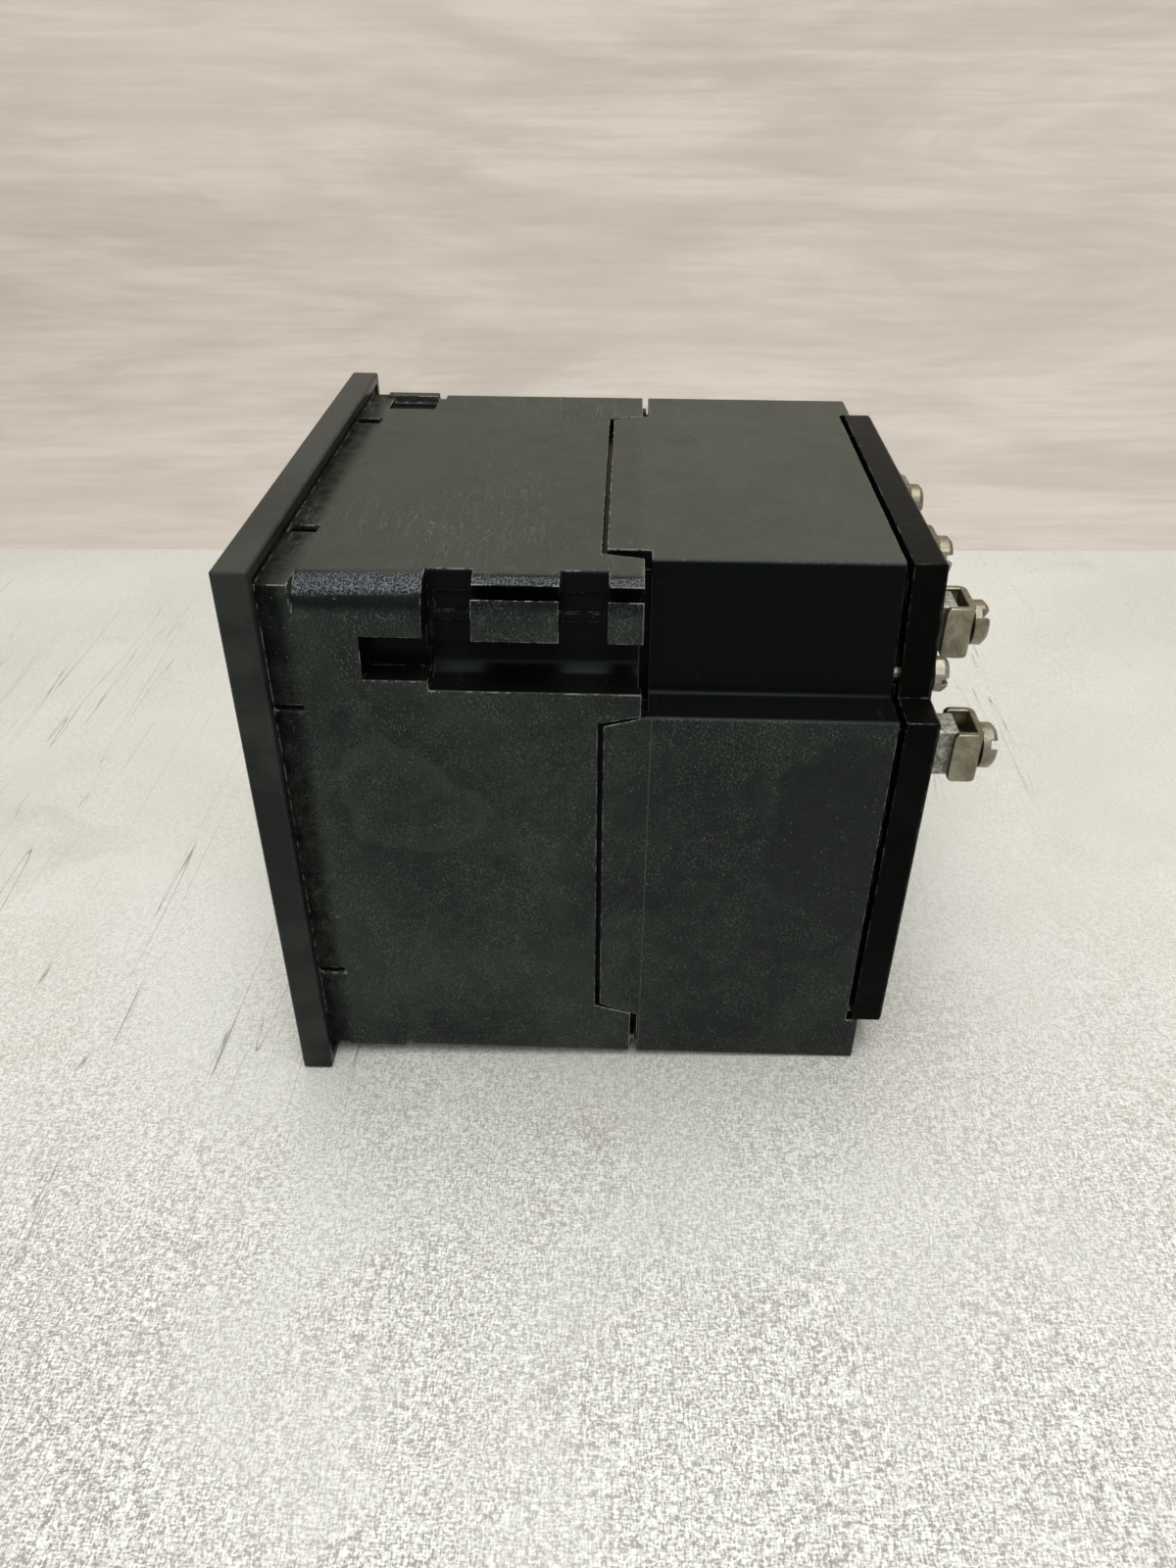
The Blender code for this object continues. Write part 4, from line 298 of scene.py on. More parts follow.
def outer_skin(f):
    """Masks of the case's outer faces, without the stepped-in places, and of its rounded clamp corners."""
    middle = f.vector("SUBTRACT", f.place, (0, 0, MID_HEIGHT))
    side = f.vector("ABSOLUTE", middle)
    core = CASE_HALF - CLAMP_RADIUS
    past = f.vector("MAXIMUM", f.vector("SUBTRACT", side, (core, 0, core)), (0, 0, 0))
    past = f.vector("MULTIPLY", past, (1, 0, 1))
    skin = f.span(f.vector("LENGTH", past), CLAMP_RADIUS - 0.0005, CLAMP_RADIUS - 0.0001)
    x, y, z = f.parts(middle)
    past_x, _, past_z = f.parts(past)
    clamp = f.math("MULTIPLY", f.math("GREATER_THAN", f.math("MULTIPLY", x, z), 0),
                   f.math("GREATER_THAN", y, NECK_END - HALF_DEPTH))
    both = f.span(f.math("MINIMUM", past_x, past_z), 0.0002, 0.0012)
    return skin, f.math("MULTIPLY", f.math("MULTIPLY", skin, clamp), both)


def handling_marks(f):
    """The marks that the near side shows: a wiped round patch, a dark greasy one, and a faint mould line."""
    x, y, _ = f.parts(f.place)
    wobble = f.add("ShaderNodeTexNoise", Vector=f.place, Scale=70.0, Detail=3.0).outputs["Color"]
    ragged = f.vector("ADD", f.place, f.vector("MULTIPLY", f.vector("SUBTRACT", wobble, (0.5, 0.5, 0.5)),
                                               (0, 0.017, 0.017)))
    ring = f.vector("DISTANCE", ragged, at(*WIPED_PATCH))
    ring = f.math("MULTIPLY", f.span(ring, 0.0108, 0.0098), f.span(ring, 0.0035, 0.0098, 0.35, 1))
    tall = Vector((1, 1, 0.6))
    grease = f.vector("DISTANCE", f.vector("MULTIPLY", ragged, tall), at(*GREASY_PATCH) * tall)
    grease = f.span(grease, 0.0115, 0.0105)
    seam = f.math("ABSOLUTE", f.math("SUBTRACT", y, MOULD_LINE - HALF_DEPTH))
    on_side = f.math("GREATER_THAN", f.math("ABSOLUTE", x), 0.0446)
    line = f.math("MULTIPLY", f.span(seam, 0.00012, 0.00004), on_side)
    return ring, grease, line


def moulded_black(name):
    """Black moulding: dusty mottled skin, handling marks, hairlines, worn edges with painted glints, painted
    light on tops, painted shade in recesses and behind the bezel.
    """
    f = Finish(name)
    skin, corner = outer_skin(f)
    ring, grease, mould_line = handling_marks(f)
    y = f.parts(f.place)[1]
    rise = f.parts(f.add("ShaderNodeNewGeometry").outputs["Normal"])[2]
    faces_up = f.span(rise, 0.75, 0.98)
    grain = f.noise(2600, 4, 0.72)
    crisp = f.noise(3400, 3, 0.75, f.moved((0.2, 0.6, 0.4), scale=(1, 1, 0.7)))
    patch = f.span(f.noise(210, 4, 0.65, distortion=0.5), 0.36, 0.66)
    cloud = f.span(f.noise(27, 4, 0.55, distortion=0.9), 0.4, 0.64)
    smudge = f.span(f.noise(58, 3, 0.5, f.moved((0.3, 0.1, 0.2)), 1.6), 0.5, 0.56)
    haze = f.math("ADD", f.math("MULTIPLY", cloud, 0.6), f.math("MULTIPLY", smudge, 0.22))
    haze = f.math("ADD", haze, f.math("MULTIPLY", ring, 0.6))
    haze = f.math("MULTIPLY", haze, f.math("SUBTRACT", 1, f.math("MULTIPLY", grease, 0.9)), clamp=True)
    colour = f.mix(haze, (0.008, 0.0102, 0.0078), (0.0315, 0.0375, 0.029))
    rear = f.span(y, 0.0005, 0.0025)
    colour = f.mix(f.math("MULTIPLY", rear, 0.25), colour, (0.004, 0.0055, 0.004))
    # up-facing faces are painted lighter, partly a dust film and partly painted light from above; the rear
    # case's tops are lighter still
    top_tone = f.mix(rear, (0.0365, 0.0395, 0.03), (0.0455, 0.0495, 0.0378))
    film = f.span(f.noise(46, 5, 0.62, f.moved((0.7, 0.3, 0.1)), 0.7), 0.34, 0.62, 0.78, 0.92)
    colour = f.mix(f.math("MULTIPLY", faces_up, film), colour, top_tone)
    mottle = f.math("MULTIPLY", f.span(crisp, 0.5, 0.68), f.math("ADD", f.math("MULTIPLY", patch, 0.7), 0.15))
    mottle = f.math("MULTIPLY", mottle, f.math("SUBTRACT", 1, f.math("MULTIPLY", grease, 0.6)))
    mottled = f.math("MULTIPLY", mottle, f.math("SUBTRACT", 0.85, f.math("MULTIPLY", faces_up, 0.45)))
    colour = f.mix(mottled, colour, (0.125, 0.138, 0.115))
    pits = f.math("SUBTRACT", 0.8, f.math("MULTIPLY", faces_up, 0.35))
    pits = f.math("MULTIPLY", f.span(crisp, 0.46, 0.34), pits)
    colour = f.mix(pits, colour, (0.004, 0.005, 0.004))
    # painted shade: the case is darkened just behind the bezel, where the bezel's rim shades it
    bezel_shade = f.math("MULTIPLY", f.span(y, NECK_END - HALF_DEPTH + 0.0005, NECK_END - HALF_DEPTH - 0.0022),
                   f.span(f.noise(420, 3, 0.6), 0.7, 0.3, 0.55, 1))
    colour = f.mix(f.math("MULTIPLY", bezel_shade, 0.9), colour, (0.0035, 0.0042, 0.0036))
    band = f.math("MULTIPLY", corner, f.span(rise, 0.22, 0.5))
    colour = f.mix(f.math("MULTIPLY", band, 0.9), colour, (0.0038, 0.0046, 0.0046))
    # painted shade: the stepped-in places, off the outer skin, are painted near black
    colour = f.mix(skin, (0.0034, 0.004, 0.0034), colour)
    colour = f.mix(f.math("MULTIPLY", mould_line, 0.35), colour, (0.12, 0.13, 0.11))
    lines = f.scratches((0.3, 0.2, 0.5), 520, 14, 0.012, 0.42)
    more = f.scratches((1.1, 0.9, -0.6), 700, 12, 0.011, 0.4, (0.4, 0.7, 0.2))
    lines = f.math("MULTIPLY", f.math("MAXIMUM", lines, more), f.math("MAXIMUM", skin, 0.12))
    colour = f.mix(f.math("MULTIPLY", lines, f.math("ADD", f.math("MULTIPLY", faces_up, 0.2), 0.35)), colour,
                   (0.16, 0.168, 0.145))
    dust = f.math("MAXIMUM", f.specks(760, 0.09, 0.12), f.specks(300, 0.045, 0.16, (0.2, 0.5, 0.1)))
    dust = f.math("MULTIPLY", dust, f.math("MAXIMUM", skin, 0.2))
    colour = f.mix(f.math("MULTIPLY", dust, 0.55), colour, (0.3, 0.31, 0.27))
    rubbed, rounded = f.edges(0.00026)
    joint = f.span(f.math("ABSOLUTE", f.math("SUBTRACT", y, MOULD_LINE - HALF_DEPTH)), 0.0045, 0.0035, 0, 0.1)
    # edges painted light: partly real rubbing, partly painted glints along the edges
    worn_and_glint = f.math("MULTIPLY", rubbed, f.span(f.math("ADD", f.noise(520, 4, 0.75), joint), 0.48, 0.57))
    worn_and_glint = f.math("MULTIPLY", worn_and_glint, f.math("MAXIMUM", skin, 0.2))
    colour = f.mix(f.math("MULTIPLY", worn_and_glint, 0.9), colour, (0.46, 0.48, 0.44))
    rough = f.span(haze, 0, 1, 0.42, 0.56, smooth=False)
    rough = f.math("SUBTRACT", rough, f.math("MULTIPLY", corner, 0.22))
    rough = f.math("ADD", f.math("MULTIPLY", skin, f.math("SUBTRACT", rough, 0.24)), 0.24)
    rough = f.math("ADD", rough, f.math("MULTIPLY", lines, 0.15), clamp=True)
    relief = f.math("ADD", f.math("MULTIPLY", skin, 0.5), f.math("MULTIPLY", corner, 0.9))
    height = f.math("MULTIPLY", f.math("ADD", grain, f.math("MULTIPLY", crisp, 0.5)), relief)
    height = f.math("SUBTRACT", f.math("ADD", height, f.math("MULTIPLY", f.noise(60, 2), 0.4)),
                    f.math("MULTIPLY", f.math("ADD", lines, mould_line), 0.4))
    rubbed_top = f.math("MULTIPLY", f.span(rise, 0.6, 0.78), f.span(rise, 0.997, 0.97))
    sparkle = f.math("MULTIPLY", f.math("MULTIPLY", corner, rubbed_top), f.span(crisp, 0.45, 0.6, 0.05, 1.0))
    matt = f.math("SUBTRACT", 1, f.math("MAXIMUM", band, bezel_shade), clamp=True)
    shine = f.math("ADD", f.math("MULTIPLY", f.math("MULTIPLY", skin, 0.13), matt),
                   f.math("ADD", sparkle, 0.05))
    shine = f.math("ADD", shine, f.math("MULTIPLY", worn_and_glint, 0.5), clamp=True)
    return f.wear(**{"Base Color": colour, "Roughness": rough, "Specular IOR Level": shine,
                     "Specular Tint": (0.8, 0.93, 1, 1), "Normal": f.bump(height, 0.35, 0.0003, rounded)})


def satin_black(name, low=(0.002, 0.0026, 0.0019), high=(0.0046, 0.0056, 0.0043), shine=0.03):
    """Smoother black moulding of the bezel and the terminal plate."""
    f = Finish(name)
    grain = f.noise(1900, 3, 0.6)
    cloud = f.span(f.noise(45, 4, 0.6, distortion=0.6), 0.42, 0.66)
    colour = f.mix(f.math("MULTIPLY", cloud, 0.8), low, high)
    lines = f.scratches((0.2, 0.4, 0.1), 380, 16, 0.011, 0.36)
    colour = f.mix(f.math("MULTIPLY", lines, 0.4), colour, (0.075, 0.08, 0.072))
    dust = f.specks(430, 0.07, 0.1, (0.3, 0.1, 0.4))
    colour = f.mix(f.math("MULTIPLY", dust, 0.4), colour, (0.2, 0.205, 0.185))
    rubbed, rounded = f.edges(0.00042)
    rubbed = f.math("MULTIPLY", rubbed, f.span(f.noise(480, 4, 0.7), 0.45, 0.66))
    colour = f.mix(f.math("MULTIPLY", rubbed, 0.55), colour, (0.11, 0.115, 0.105))
    rough = f.span(f.math("ADD", f.math("MULTIPLY", grain, 0.5), f.math("MULTIPLY", cloud, 0.5)), 0.2, 0.8,
                   0.25, 0.4, smooth=False)
    height = f.math("ADD", f.math("MULTIPLY", grain, 0.5), f.math("MULTIPLY", f.noise(80, 2), 0.4))
    shine = f.math("ADD", f.math("MULTIPLY", rubbed, 0.5), shine)
    return f.wear(**{"Base Color": colour, "Roughness": rough, "Specular IOR Level": shine,
                     "Normal": f.bump(height, 0.16, 0.0003, rounded)})


def plated(name, bright, dull, gloss, stain=(0.16, 0.13, 0.07), fine=1500):
    """Plated or bare metal with dull patches, stains, fine rubbing marks and brighter edges."""
    f = Finish(name, metallic=1.0)
    patch = f.span(f.noise(260, 5, 0.65, distortion=0.7), 0.36, 0.66)
    colour = f.mix(patch, bright, dull)
    stained = f.span(f.noise(620, 4, 0.7, f.moved((0.4, 0.2, 0.6))), 0.57, 0.74)
    colour = f.mix(f.math("MULTIPLY", stained, 0.55), colour, stain)
    rubbed, rounded = f.edges(0.00022)
    light = tuple(min(1, c * 1.35) for c in bright)
    colour = f.mix(f.math("MULTIPLY", rubbed, 0.7), colour, light)
    grain = f.noise(fine, 3, 0.6, f.moved(scale=(1, 1, 3)))
    rough = f.math("ADD", f.span(grain, 0.3, 0.7, gloss - 0.07, gloss + 0.08, smooth=False),
                   f.math("MULTIPLY", f.math("ADD", stained, patch), 0.07), clamp=True)
    height = f.math("ADD", f.math("MULTIPLY", grain, 0.6), f.math("MULTIPLY", stained, -0.5))
    return f.wear(**{"Base Color": colour, "Roughness": rough,
                     "Normal": f.bump(height, 0.2, 0.0002, rounded)})


def rough_cast(name):
    """Pale rough metal of the contact blocks, with a trace of green in its pits."""
    f = Finish(name, metallic=0.75)
    pits = f.noise(1500, 4, 0.75)
    colour = f.mix(f.span(pits, 0.35, 0.68), (0.17, 0.165, 0.13), (0.52, 0.51, 0.45))
    green = f.span(f.noise(420, 3, 0.6, f.moved((0.6, 0.3, 0.1))), 0.55, 0.72)
    colour = f.mix(f.math("MULTIPLY", green, 0.4), colour, (0.2, 0.26, 0.17))
    rubbed, rounded = f.edges(0.00025)
    colour = f.mix(f.math("MULTIPLY", rubbed, 0.6), colour, (0.66, 0.65, 0.6))
    return f.wear(**{"Base Color": colour, "Roughness": f.span(pits, 0.3, 0.7, 0.62, 0.42),
                     "Normal": f.bump(pits, 0.5, 0.0004, rounded)})


def clear_glass(name):
    """Window glass that lets lamps through, with a little dust on it."""
    f = Finish(name, (0.97, 0.985, 0.975), 0.015, IOR=1.5)
    f.shader.inputs["Transmission Weight"].default_value = 1
    dust = f.math("MAXIMUM", f.specks(330, 0.06, 0.08), f.span(f.noise(30, 4, 0.6), 0.6, 0.85, 0, 0.25))
    f.set(f.shader, Roughness=f.math("ADD", f.math("MULTIPLY", dust, 0.12), 0.012))
    path = f.add("ShaderNodeLightPath")
    through = f.add("ShaderNodeBsdfTransparent")
    through.inputs["Color"].default_value = (0.94, 0.955, 0.945, 1)
    mixed = f.add("ShaderNodeMixShader")
    f.set(mixed, i0=path.outputs["Is Shadow Ray"], i1=f.shader.outputs[0], i2=through.outputs[0])
    f.set(f.tree.nodes["Material Output"], Surface=mixed.outputs[0])
    return f.material


def rubbery(name):
    """Dull black rubber."""
    f = Finish(name)
    grain = f.noise(1400, 3, 0.6)
    colour = f.mix(f.span(grain, 0.35, 0.7), (0.016, 0.016, 0.016), (0.034, 0.034, 0.033))
    return f.wear(**{"Base Color": colour, "Roughness": f.span(grain, 0.3, 0.7, 0.7, 0.85),
                     "Normal": f.bump(grain, 0.3, 0.0002)})


def enamelled(name, colour, dark, gloss=0.42):
    """Flat paint or print with faint dust and slow changes of tone."""
    f = Finish(name)
    tone = f.span(f.noise(28, 4, 0.55), 0.3, 0.75)
    mixed = f.mix(f.math("MULTIPLY", tone, 0.5), colour, dark)
    grain = f.noise(1600, 2, 0.5)
    dust = f.specks(300, 0.05, 0.06)
    mixed = f.mix(f.math("MULTIPLY", dust, 0.35), mixed, (0.25, 0.24, 0.21))
    return f.wear(**{"Base Color": mixed, "Roughness": f.span(grain, 0.3, 0.7, gloss - 0.05, gloss + 0.08),
                     "Normal": f.bump(grain, 0.08, 0.0002)})


def wound_wire(name, pitch=0.00042):
    """Enamelled wire laid side by side: fine ridges across the winding."""
    f = Finish(name, metallic=0.55)
    wave = f.add("ShaderNodeTexWave", {"wave_type": "BANDS", "bands_direction": "Y", "wave_profile": "SIN"},
                 Scale=1 / (pitch * 6.4), Distortion=0.6, Detail=1.0)
    f.tree.links.new(f.place, wave.inputs["Vector"])
    ridge = wave.outputs["Fac"]
    tone = f.noise(240, 3, 0.6)
    colour = f.mix(f.math("MULTIPLY", ridge, 0.8), (0.16, 0.05, 0.02), (0.55, 0.22, 0.09))
    colour = f.mix(f.math("MULTIPLY", tone, 0.35), colour, (0.3, 0.12, 0.05))
    return f.wear(**{"Base Color": colour, "Roughness": f.span(tone, 0.3, 0.7, 0.28, 0.42),
                     "Normal": f.bump(ridge, 0.6, 0.0003)})


def stacked_iron(name):
    """Dark sheet iron, its laminations showing as fine lines along the stack."""
    f = Finish(name, metallic=0.9)
    wave = f.add("ShaderNodeTexWave", {"wave_type": "BANDS", "bands_direction": "Y"},
                 Scale=320, Distortion=0.2)
    f.tree.links.new(f.place, wave.inputs["Vector"])
    tone = f.noise(300, 4, 0.65)
    colour = f.mix(f.span(tone, 0.35, 0.7), (0.13, 0.13, 0.135), (0.3, 0.3, 0.31))
    colour = f.mix(f.math("MULTIPLY", f.span(wave.outputs["Fac"], 0.75, 1), 0.5), colour, (0.05, 0.045, 0.04))
    return f.wear(**{"Base Color": colour, "Roughness": f.span(tone, 0.3, 0.7, 0.45, 0.6),
                     "Normal": f.bump(wave.outputs["Fac"], 0.3, 0.0002)})


def fibrous(name, light, dark, scale=700):
    """Laminate board or brown moulding with fine flecks."""
    f = Finish(name)
    fleck = f.noise(scale, 4, 0.7, f.moved(scale=(1, 1, 2.5)))
    colour = f.mix(f.span(fleck, 0.35, 0.7), light, dark)
    rubbed, rounded = f.edges(0.0003)
    colour = f.mix(f.math("MULTIPLY", rubbed, 0.3), colour, tuple(min(1, c * 1.6) for c in light))
    return f.wear(**{"Base Color": colour, "Roughness": f.span(fleck, 0.3, 0.7, 0.45, 0.62),
                     "Normal": f.bump(fleck, 0.2, 0.0002, rounded)})


def table_finish():
    """Pale worn worktop: a fine woven mottle that shows up close, hairlines and small dark marks."""
    f = Finish("table_top", roughness=0.5)
    cloud = f.span(f.noise(9, 5, 0.6, distortion=0.5), 0.35, 0.7)
    colour = f.mix(cloud, (0.555, 0.56, 0.51), (0.635, 0.64, 0.595))
    stain = f.span(f.noise(22, 5, 0.65, f.moved((0.6, 0.2, 0)), 0.8), 0.58, 0.78)
    colour = f.mix(f.math("MULTIPLY", stain, 0.6), colour, (0.48, 0.455, 0.4))
    along = f.noise(1, 3, 0.7, f.moved(scale=(820, 3000, 900)))
    across = f.noise(1, 3, 0.7, f.moved((3, 5, 1), scale=(3000, 820, 900)))
    speckle = f.noise(2600, 3, 0.7)
    weave = f.math("MULTIPLY", f.math("ADD", f.math("ADD", along, across), speckle), 1 / 3)
    near = f.span(f.parts(f.place)[0], -0.02, 0.13)
    strength = f.math("ADD", f.math("MULTIPLY", near, 0.85), 0.2)
    uneven = f.span(f.noise(30, 3, 0.5, f.moved((0.1, 0.7, 0))), 0.3, 0.6, 0.55, 1)
    strength = f.math("MULTIPLY", strength, uneven)
    colour = f.mix(f.math("MULTIPLY", f.span(weave, 0.5, 0.55), strength), colour, (0.26, 0.25, 0.225))
    colour = f.mix(f.math("MULTIPLY", f.span(weave, 0.49, 0.44), strength), colour, (0.86, 0.85, 0.83))
    lines = f.scratches((0, 0, 0.5), 90, 30, 0.004, 0.42)
    more = f.scratches((0, 0, -0.9), 75, 26, 0.004, 0.4, (0.5, 0.2, 0))
    third = f.scratches((0, 0, 1.5), 60, 30, 0.004, 0.45, (0.9, 0.4, 0))
    lines = f.math("MAXIMUM", f.math("MAXIMUM", lines, more), third)
    colour = f.mix(f.math("MULTIPLY", lines, 0.75), colour, (0.16, 0.16, 0.145))
    chips = f.math("MULTIPLY", f.specks(46, 0.05, 0.05, (0.4, 0.1, 0)), f.span(f.noise(800, 3), 0.4, 0.55))
    colour = f.mix(f.math("MULTIPLY", chips, 0.6), colour, (0.2, 0.2, 0.18))
    return f.wear(**{"Base Color": colour, "Roughness": f.span(cloud, 0, 1, 0.42, 0.55),
                     "Normal": f.bump(weave, 0.15, 0.0003)})


def wall_finish():
    """Pale beige board with a soft level grain and a few brown flecks.

    Painted shade darkens its foot, where it curves under the lamps, so it looks as even as an upright board.
    """
    f = Finish("wall_board", roughness=0.6)
    grain = f.noise(26, 6, 0.62, f.moved(scale=(1, 0.2, 1.2)), 1.8)
    fine = f.noise(300, 4, 0.65, f.moved(scale=(1, 0.045, 1)))
    colour = f.mix(f.span(grain, 0.36, 0.66), (0.87, 0.78, 0.69), (0.72, 0.65, 0.56))
    colour = f.mix(f.math("MULTIPLY", f.span(fine, 0.38, 0.68), 0.42), colour, (0.62, 0.54, 0.455))
    broad = f.span(f.noise(7, 3, 0.5, f.moved((0.4, 0.8, 0.3), scale=(1, 0.5, 1.4))), 0.45, 0.7)
    colour = f.mix(f.math("MULTIPLY", broad, 0.4), colour, (0.86, 0.76, 0.68))
    fleck = f.specks(22, 0.045, 0.08, (0.13, 0.37, 0.2))
    colour = f.mix(f.math("MULTIPLY", fleck, 0.7), colour, (0.36, 0.25, 0.12))
    # painted shade against the extra lamp light on the wall's curved foot
    painted_foot_shade = f.span(f.parts(f.place)[2], 0.03, 0.13, 0.31, 0)
    colour = f.mix(painted_foot_shade, colour, (0.03, 0.025, 0.02))
    return f.wear(**{"Base Color": colour, "Normal": f.bump(fine, 0.1, 0.0003)})


def make_finishes():
    """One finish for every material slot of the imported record."""
    return {
        "black_moulding": moulded_black("black_moulding"),
        "black_satin": satin_black("black_satin"),
        "clear_glass": clear_glass("clear_glass"),
        "soft_rubber": rubbery("soft_rubber"),
        "nickel": plated("nickel", (0.295, 0.272, 0.208), (0.172, 0.157, 0.11), 0.32),
        "cast_nickel": rough_cast("cast_nickel"),
        "steel": plated("steel", (0.46, 0.46, 0.47), (0.34, 0.34, 0.35), 0.3, (0.2, 0.17, 0.13)),
        "zinc_steel": plated("zinc_steel", (0.44, 0.42, 0.35), (0.28, 0.262, 0.205), 0.36, (0.2, 0.17, 0.1)),
        "brass": plated("brass", (0.72, 0.53, 0.24), (0.55, 0.39, 0.17), 0.28, (0.3, 0.2, 0.08)),
        "sheet_iron": stacked_iron("sheet_iron"),
        "dial_white": enamelled("dial_white", (0.8, 0.79, 0.74), (0.74, 0.725, 0.66)),
        "pointer_red": enamelled("pointer_red", (0.56, 0.035, 0.02), (0.46, 0.03, 0.02), 0.4),
        "copper_wire": wound_wire("copper_wire"),
        "bobbin_brown": fibrous("bobbin_brown", (0.24, 0.12, 0.06), (0.17, 0.08, 0.04)),
        "board_tan": fibrous("board_tan", (0.42, 0.29, 0.14), (0.34, 0.22, 0.1), 500),
        "ceramic": enamelled("ceramic", (0.74, 0.73, 0.69), (0.64, 0.62, 0.57), 0.68),
    }


# Pieces

MOULDED_EDGE = 0.0002
CASE_EDGE = 0.0001
SADDLE_EDGE = 0.00022
SCREW_EDGE = 0.0003
BLOCK_EDGE = 0.0002
TERMINALS = range(1, 6)
WELD = 0.000002


def dressed(node, width, segments=2, angle=34, merge=True, clamp=True, material=None):
    """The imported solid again, with its small edge radii: it stands for the node and rides on its body."""
    source = NODES[node]
    bm = bmesh.new()
    bm.from_mesh(source.data)
    bmesh.ops.remove_doubles(bm, verts=bm.verts, dist=WELD)
    if merge:
        bmesh.ops.dissolve_limit(bm, angle_limit=math.radians(0.3), verts=bm.verts, edges=bm.edges)
    mesh = bpy.data.meshes.new("dressed_" + node)
    bm.to_mesh(mesh)
    bm.free()
    mesh.shade_smooth()
    mesh.set_sharp_from_angle(angle=math.radians(angle))
    mesh.materials.append(material or FINISHES[SLOTS[node]])
    obj = bpy.data.objects.new("dressed_" + node, mesh)
    bpy.context.scene.collection.objects.link(obj)
    edge = obj.modifiers.new("edges", "BEVEL")
    edge.width = width
    edge.segments = segments
    edge.limit_method = "ANGLE"
    edge.angle_limit = math.radians(angle)
    edge.use_clamp_overlap = clamp
    even = obj.modifiers.new("even", "WEIGHTED_NORMAL")
    even.keep_sharp = True
    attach(obj, BODY_OF[node])
    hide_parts(node)


def added(name, mesh, body, finish):
    """A small piece of the scene's own, on a body."""
    mesh.materials.clear()
    mesh.materials.append(finish)
    obj = bpy.data.objects.new(name, mesh)
    bpy.context.scene.collection.objects.link(obj)
    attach(obj, body)


def finish_nodes():
    """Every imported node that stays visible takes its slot's finish."""
    for name, obj in NODES.items():
        for index in range(len(obj.data.materials)):
            obj.data.materials[index] = FINISHES[SLOTS[name]]


def dress_pieces():
    """The pieces that are seen close up get rounded edges, and the bezel a dustier black of its own."""
    dusty = satin_black("bezel_black", (0.013, 0.0155, 0.0138), (0.033, 0.038, 0.0335), 0.12)
    dressed("rear_plate", MOULDED_EDGE)
    dressed("bezel", MOULDED_EDGE, material=dusty)
    for node in ("front_case", "rear_case"):
        dressed(node, CASE_EDGE, merge=False, clamp=False)
    for number in TERMINALS:
        dressed(f"saddle_{number}", SADDLE_EDGE)
        dressed(f"terminal_screw_{number}", SCREW_EDGE, 3)
        dressed(f"contact_block_{number}", BLOCK_EDGE)


# Dial face

DIAL_FACE = 0.012
PRINT_RISE = 0.00006
PRINT_SINK = 0.00004
RING_INNER = 0.0352
RING_OUTER = 0.0356
TICK_STEP = 10
LONG_TICK_STEP = 30
MARK_TOP = 0.0394
ARROW_RADIUS = 0.0263
ARROW_HALF_LINE = 0.0005
ARROW_HALF_HEAD = 0.0024
ARROW_START = 22
ARROW_END = 62
ARROW_POINT = 8.5
WORD_X = 0.0138
WORD_Z = 0.0079
WORD_SIZE = 0.005


def flat_print(name, rings, finish):
    """Printed shapes on the dial, as outlines of (x, z) points a hair in front of it."""
    bm = bmesh.new()
    for ring in rings:
        front = [bm.verts.new(at(x, DIAL_FACE - PRINT_RISE, z)) for x, z in ring]
        back = [bm.verts.new(at(x, DIAL_FACE + PRINT_SINK, z)) for x, z in ring]
        bm.faces.new(front)
        bm.faces.new(list(reversed(back)))
        for i in range(len(ring)):
            j = (i + 1) % len(ring)
            bm.faces.new((front[j], front[i], back[i], back[j]))
    bmesh.ops.recalc_face_normals(bm, faces=bm.faces)
    mesh = bpy.data.meshes.new(name)
    bm.to_mesh(mesh)
    bm.free()
    added(name, mesh, "case", finish)


def polar(radius, degrees):
    """A point on the dial, with its angle measured clockwise from the top."""
    a = math.radians(degrees)
    return radius * math.sin(a), radius * math.cos(a)


def band(inner, outer, start, end, step=3):
    """A ring sector as short four-sided pieces' outline."""
    count = max(1, round(abs(end - start) / step))
    angles = [start + (end - start) * i / count for i in range(count + 1)]
    return [polar(outer, a) for a in angles] + [polar(inner, a) for a in reversed(angles)]


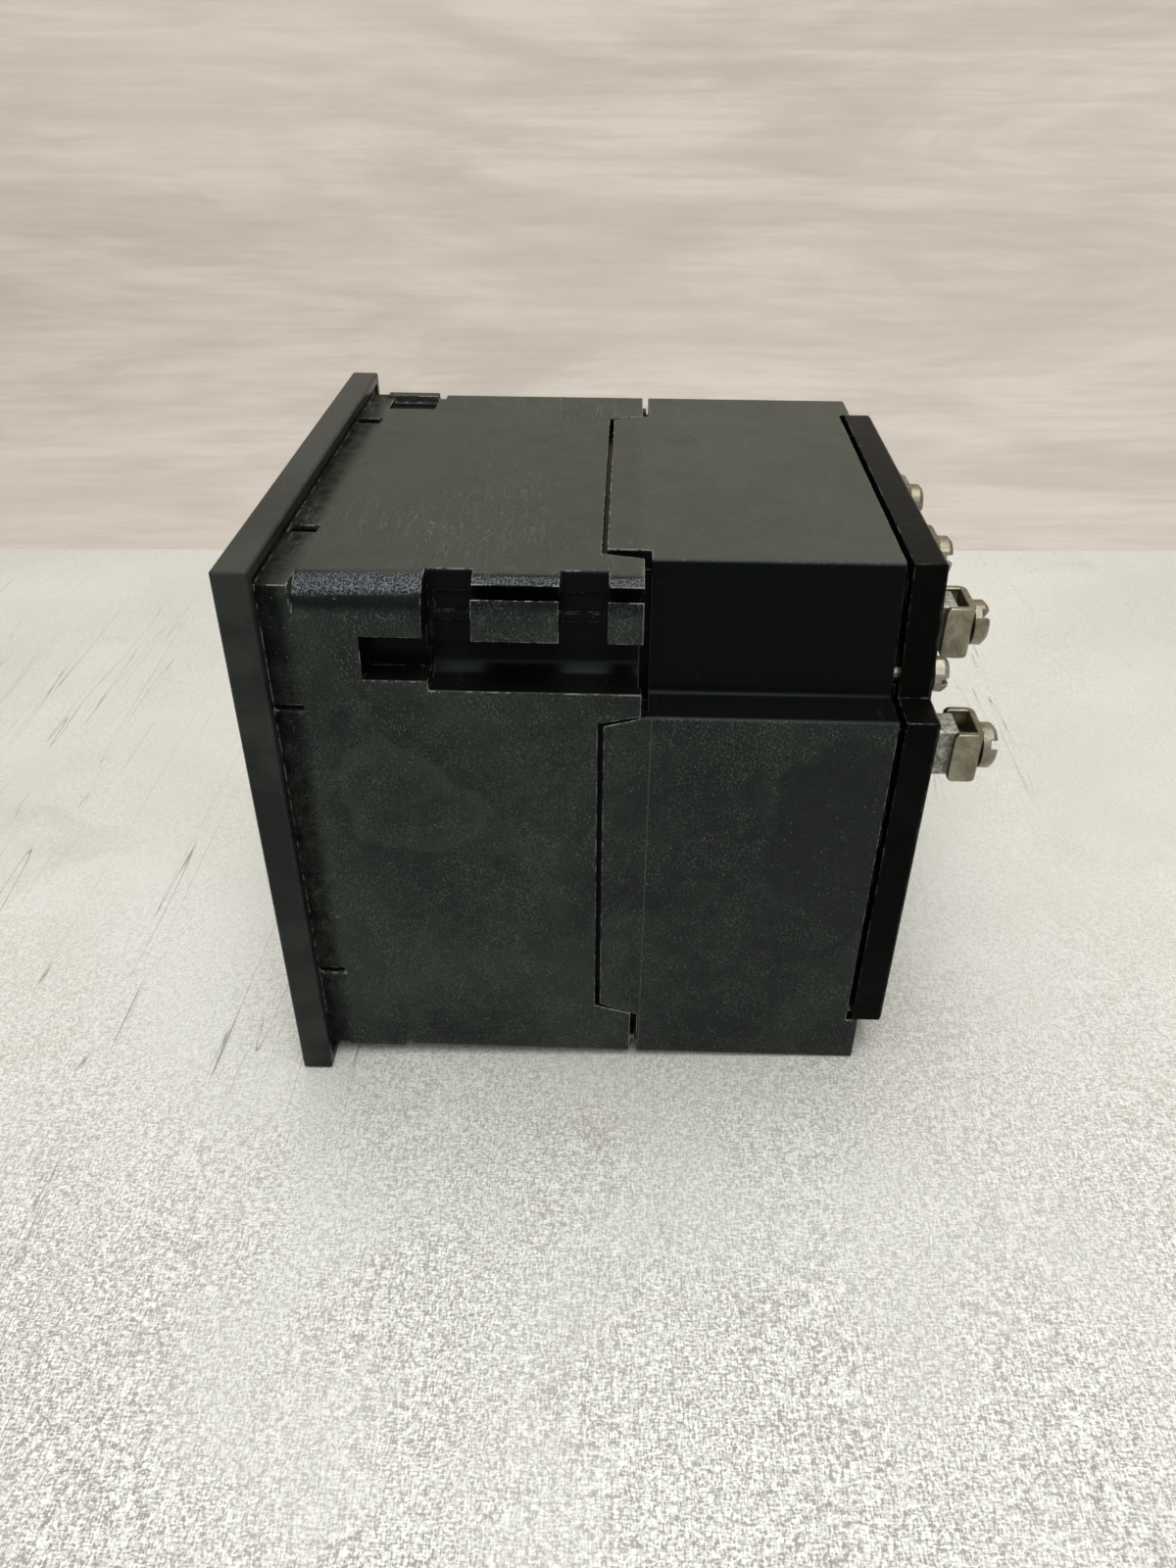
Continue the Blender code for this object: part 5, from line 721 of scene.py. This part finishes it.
def printed_word(text, x, z, size, finish):
    """A word on the dial, as a mesh."""
    curve = bpy.data.curves.new("word", "FONT")
    curve.body = text
    curve.size = size
    curve.align_x = "CENTER"
    curve.align_y = "CENTER"
    curve.extrude = (PRINT_RISE + PRINT_SINK) / 2
    curve.offset = size * 0.012
    words = bpy.data.objects.new("word", curve)
    bpy.context.scene.collection.objects.link(words)
    words.matrix_world = (Matrix.Translation(at(x, DIAL_FACE - (PRINT_RISE - PRINT_SINK) / 2, z))
                          @ Matrix.Rotation(math.pi / 2, 4, "X"))
    bpy.context.view_layer.update()
    mesh = bpy.data.meshes.new_from_object(words.evaluated_get(bpy.context.evaluated_depsgraph_get()))
    mesh.transform(words.matrix_world)
    bpy.data.objects.remove(words)
    mesh.name = "print_" + text.lower()
    added(mesh.name, mesh, "case", finish)


def build_dial_print():
    """Plain markings of a synchroscope: the synchronism mark, a ring of ticks, and the two turning arrows."""
    ink = enamelled("dial_ink", (0.012, 0.012, 0.012), (0.02, 0.02, 0.019), 0.45)
    ring = [band(RING_INNER, RING_OUTER, a, a + LONG_TICK_STEP) for a in range(0, 360, LONG_TICK_STEP)]
    ticks = []
    for a in range(TICK_STEP, 360, TICK_STEP):
        deep, half = (0.0022, 0.28) if a % LONG_TICK_STEP else (0.0036, 0.5)
        ticks.append([polar(RING_OUTER, a - half), polar(RING_OUTER, a + half),
                      polar(RING_OUTER - deep, a + half), polar(RING_OUTER - deep, a - half)])
    mark = [[polar(MARK_TOP, -2.4), polar(MARK_TOP, 2.4), polar(RING_OUTER, 1.9), polar(RING_INNER, 0),
             polar(RING_OUTER, -1.9)]]
    flat_print("print_ring", ring, ink)
    flat_print("print_ticks", ticks, ink)
    flat_print("print_mark", mark, ink)
    arrows = []
    for side in (1, -1):
        start, end = side * ARROW_START, side * ARROW_END
        arrows.append(band(ARROW_RADIUS - ARROW_HALF_LINE, ARROW_RADIUS + ARROW_HALF_LINE, start, end))
        arrows.append([polar(ARROW_RADIUS + ARROW_HALF_HEAD, end),
                       polar(ARROW_RADIUS, end + side * ARROW_POINT),
                       polar(ARROW_RADIUS - ARROW_HALF_HEAD, end)])
    flat_print("print_arrows", arrows, ink)
    printed_word("FAST", WORD_X, WORD_Z, WORD_SIZE, ink)
    printed_word("SLOW", -WORD_X, WORD_Z, WORD_SIZE, ink)


build_camera()
FINISHES = make_finishes()
build_stage()
build_light()
finish_nodes()
dress_pieces()
build_dial_print()
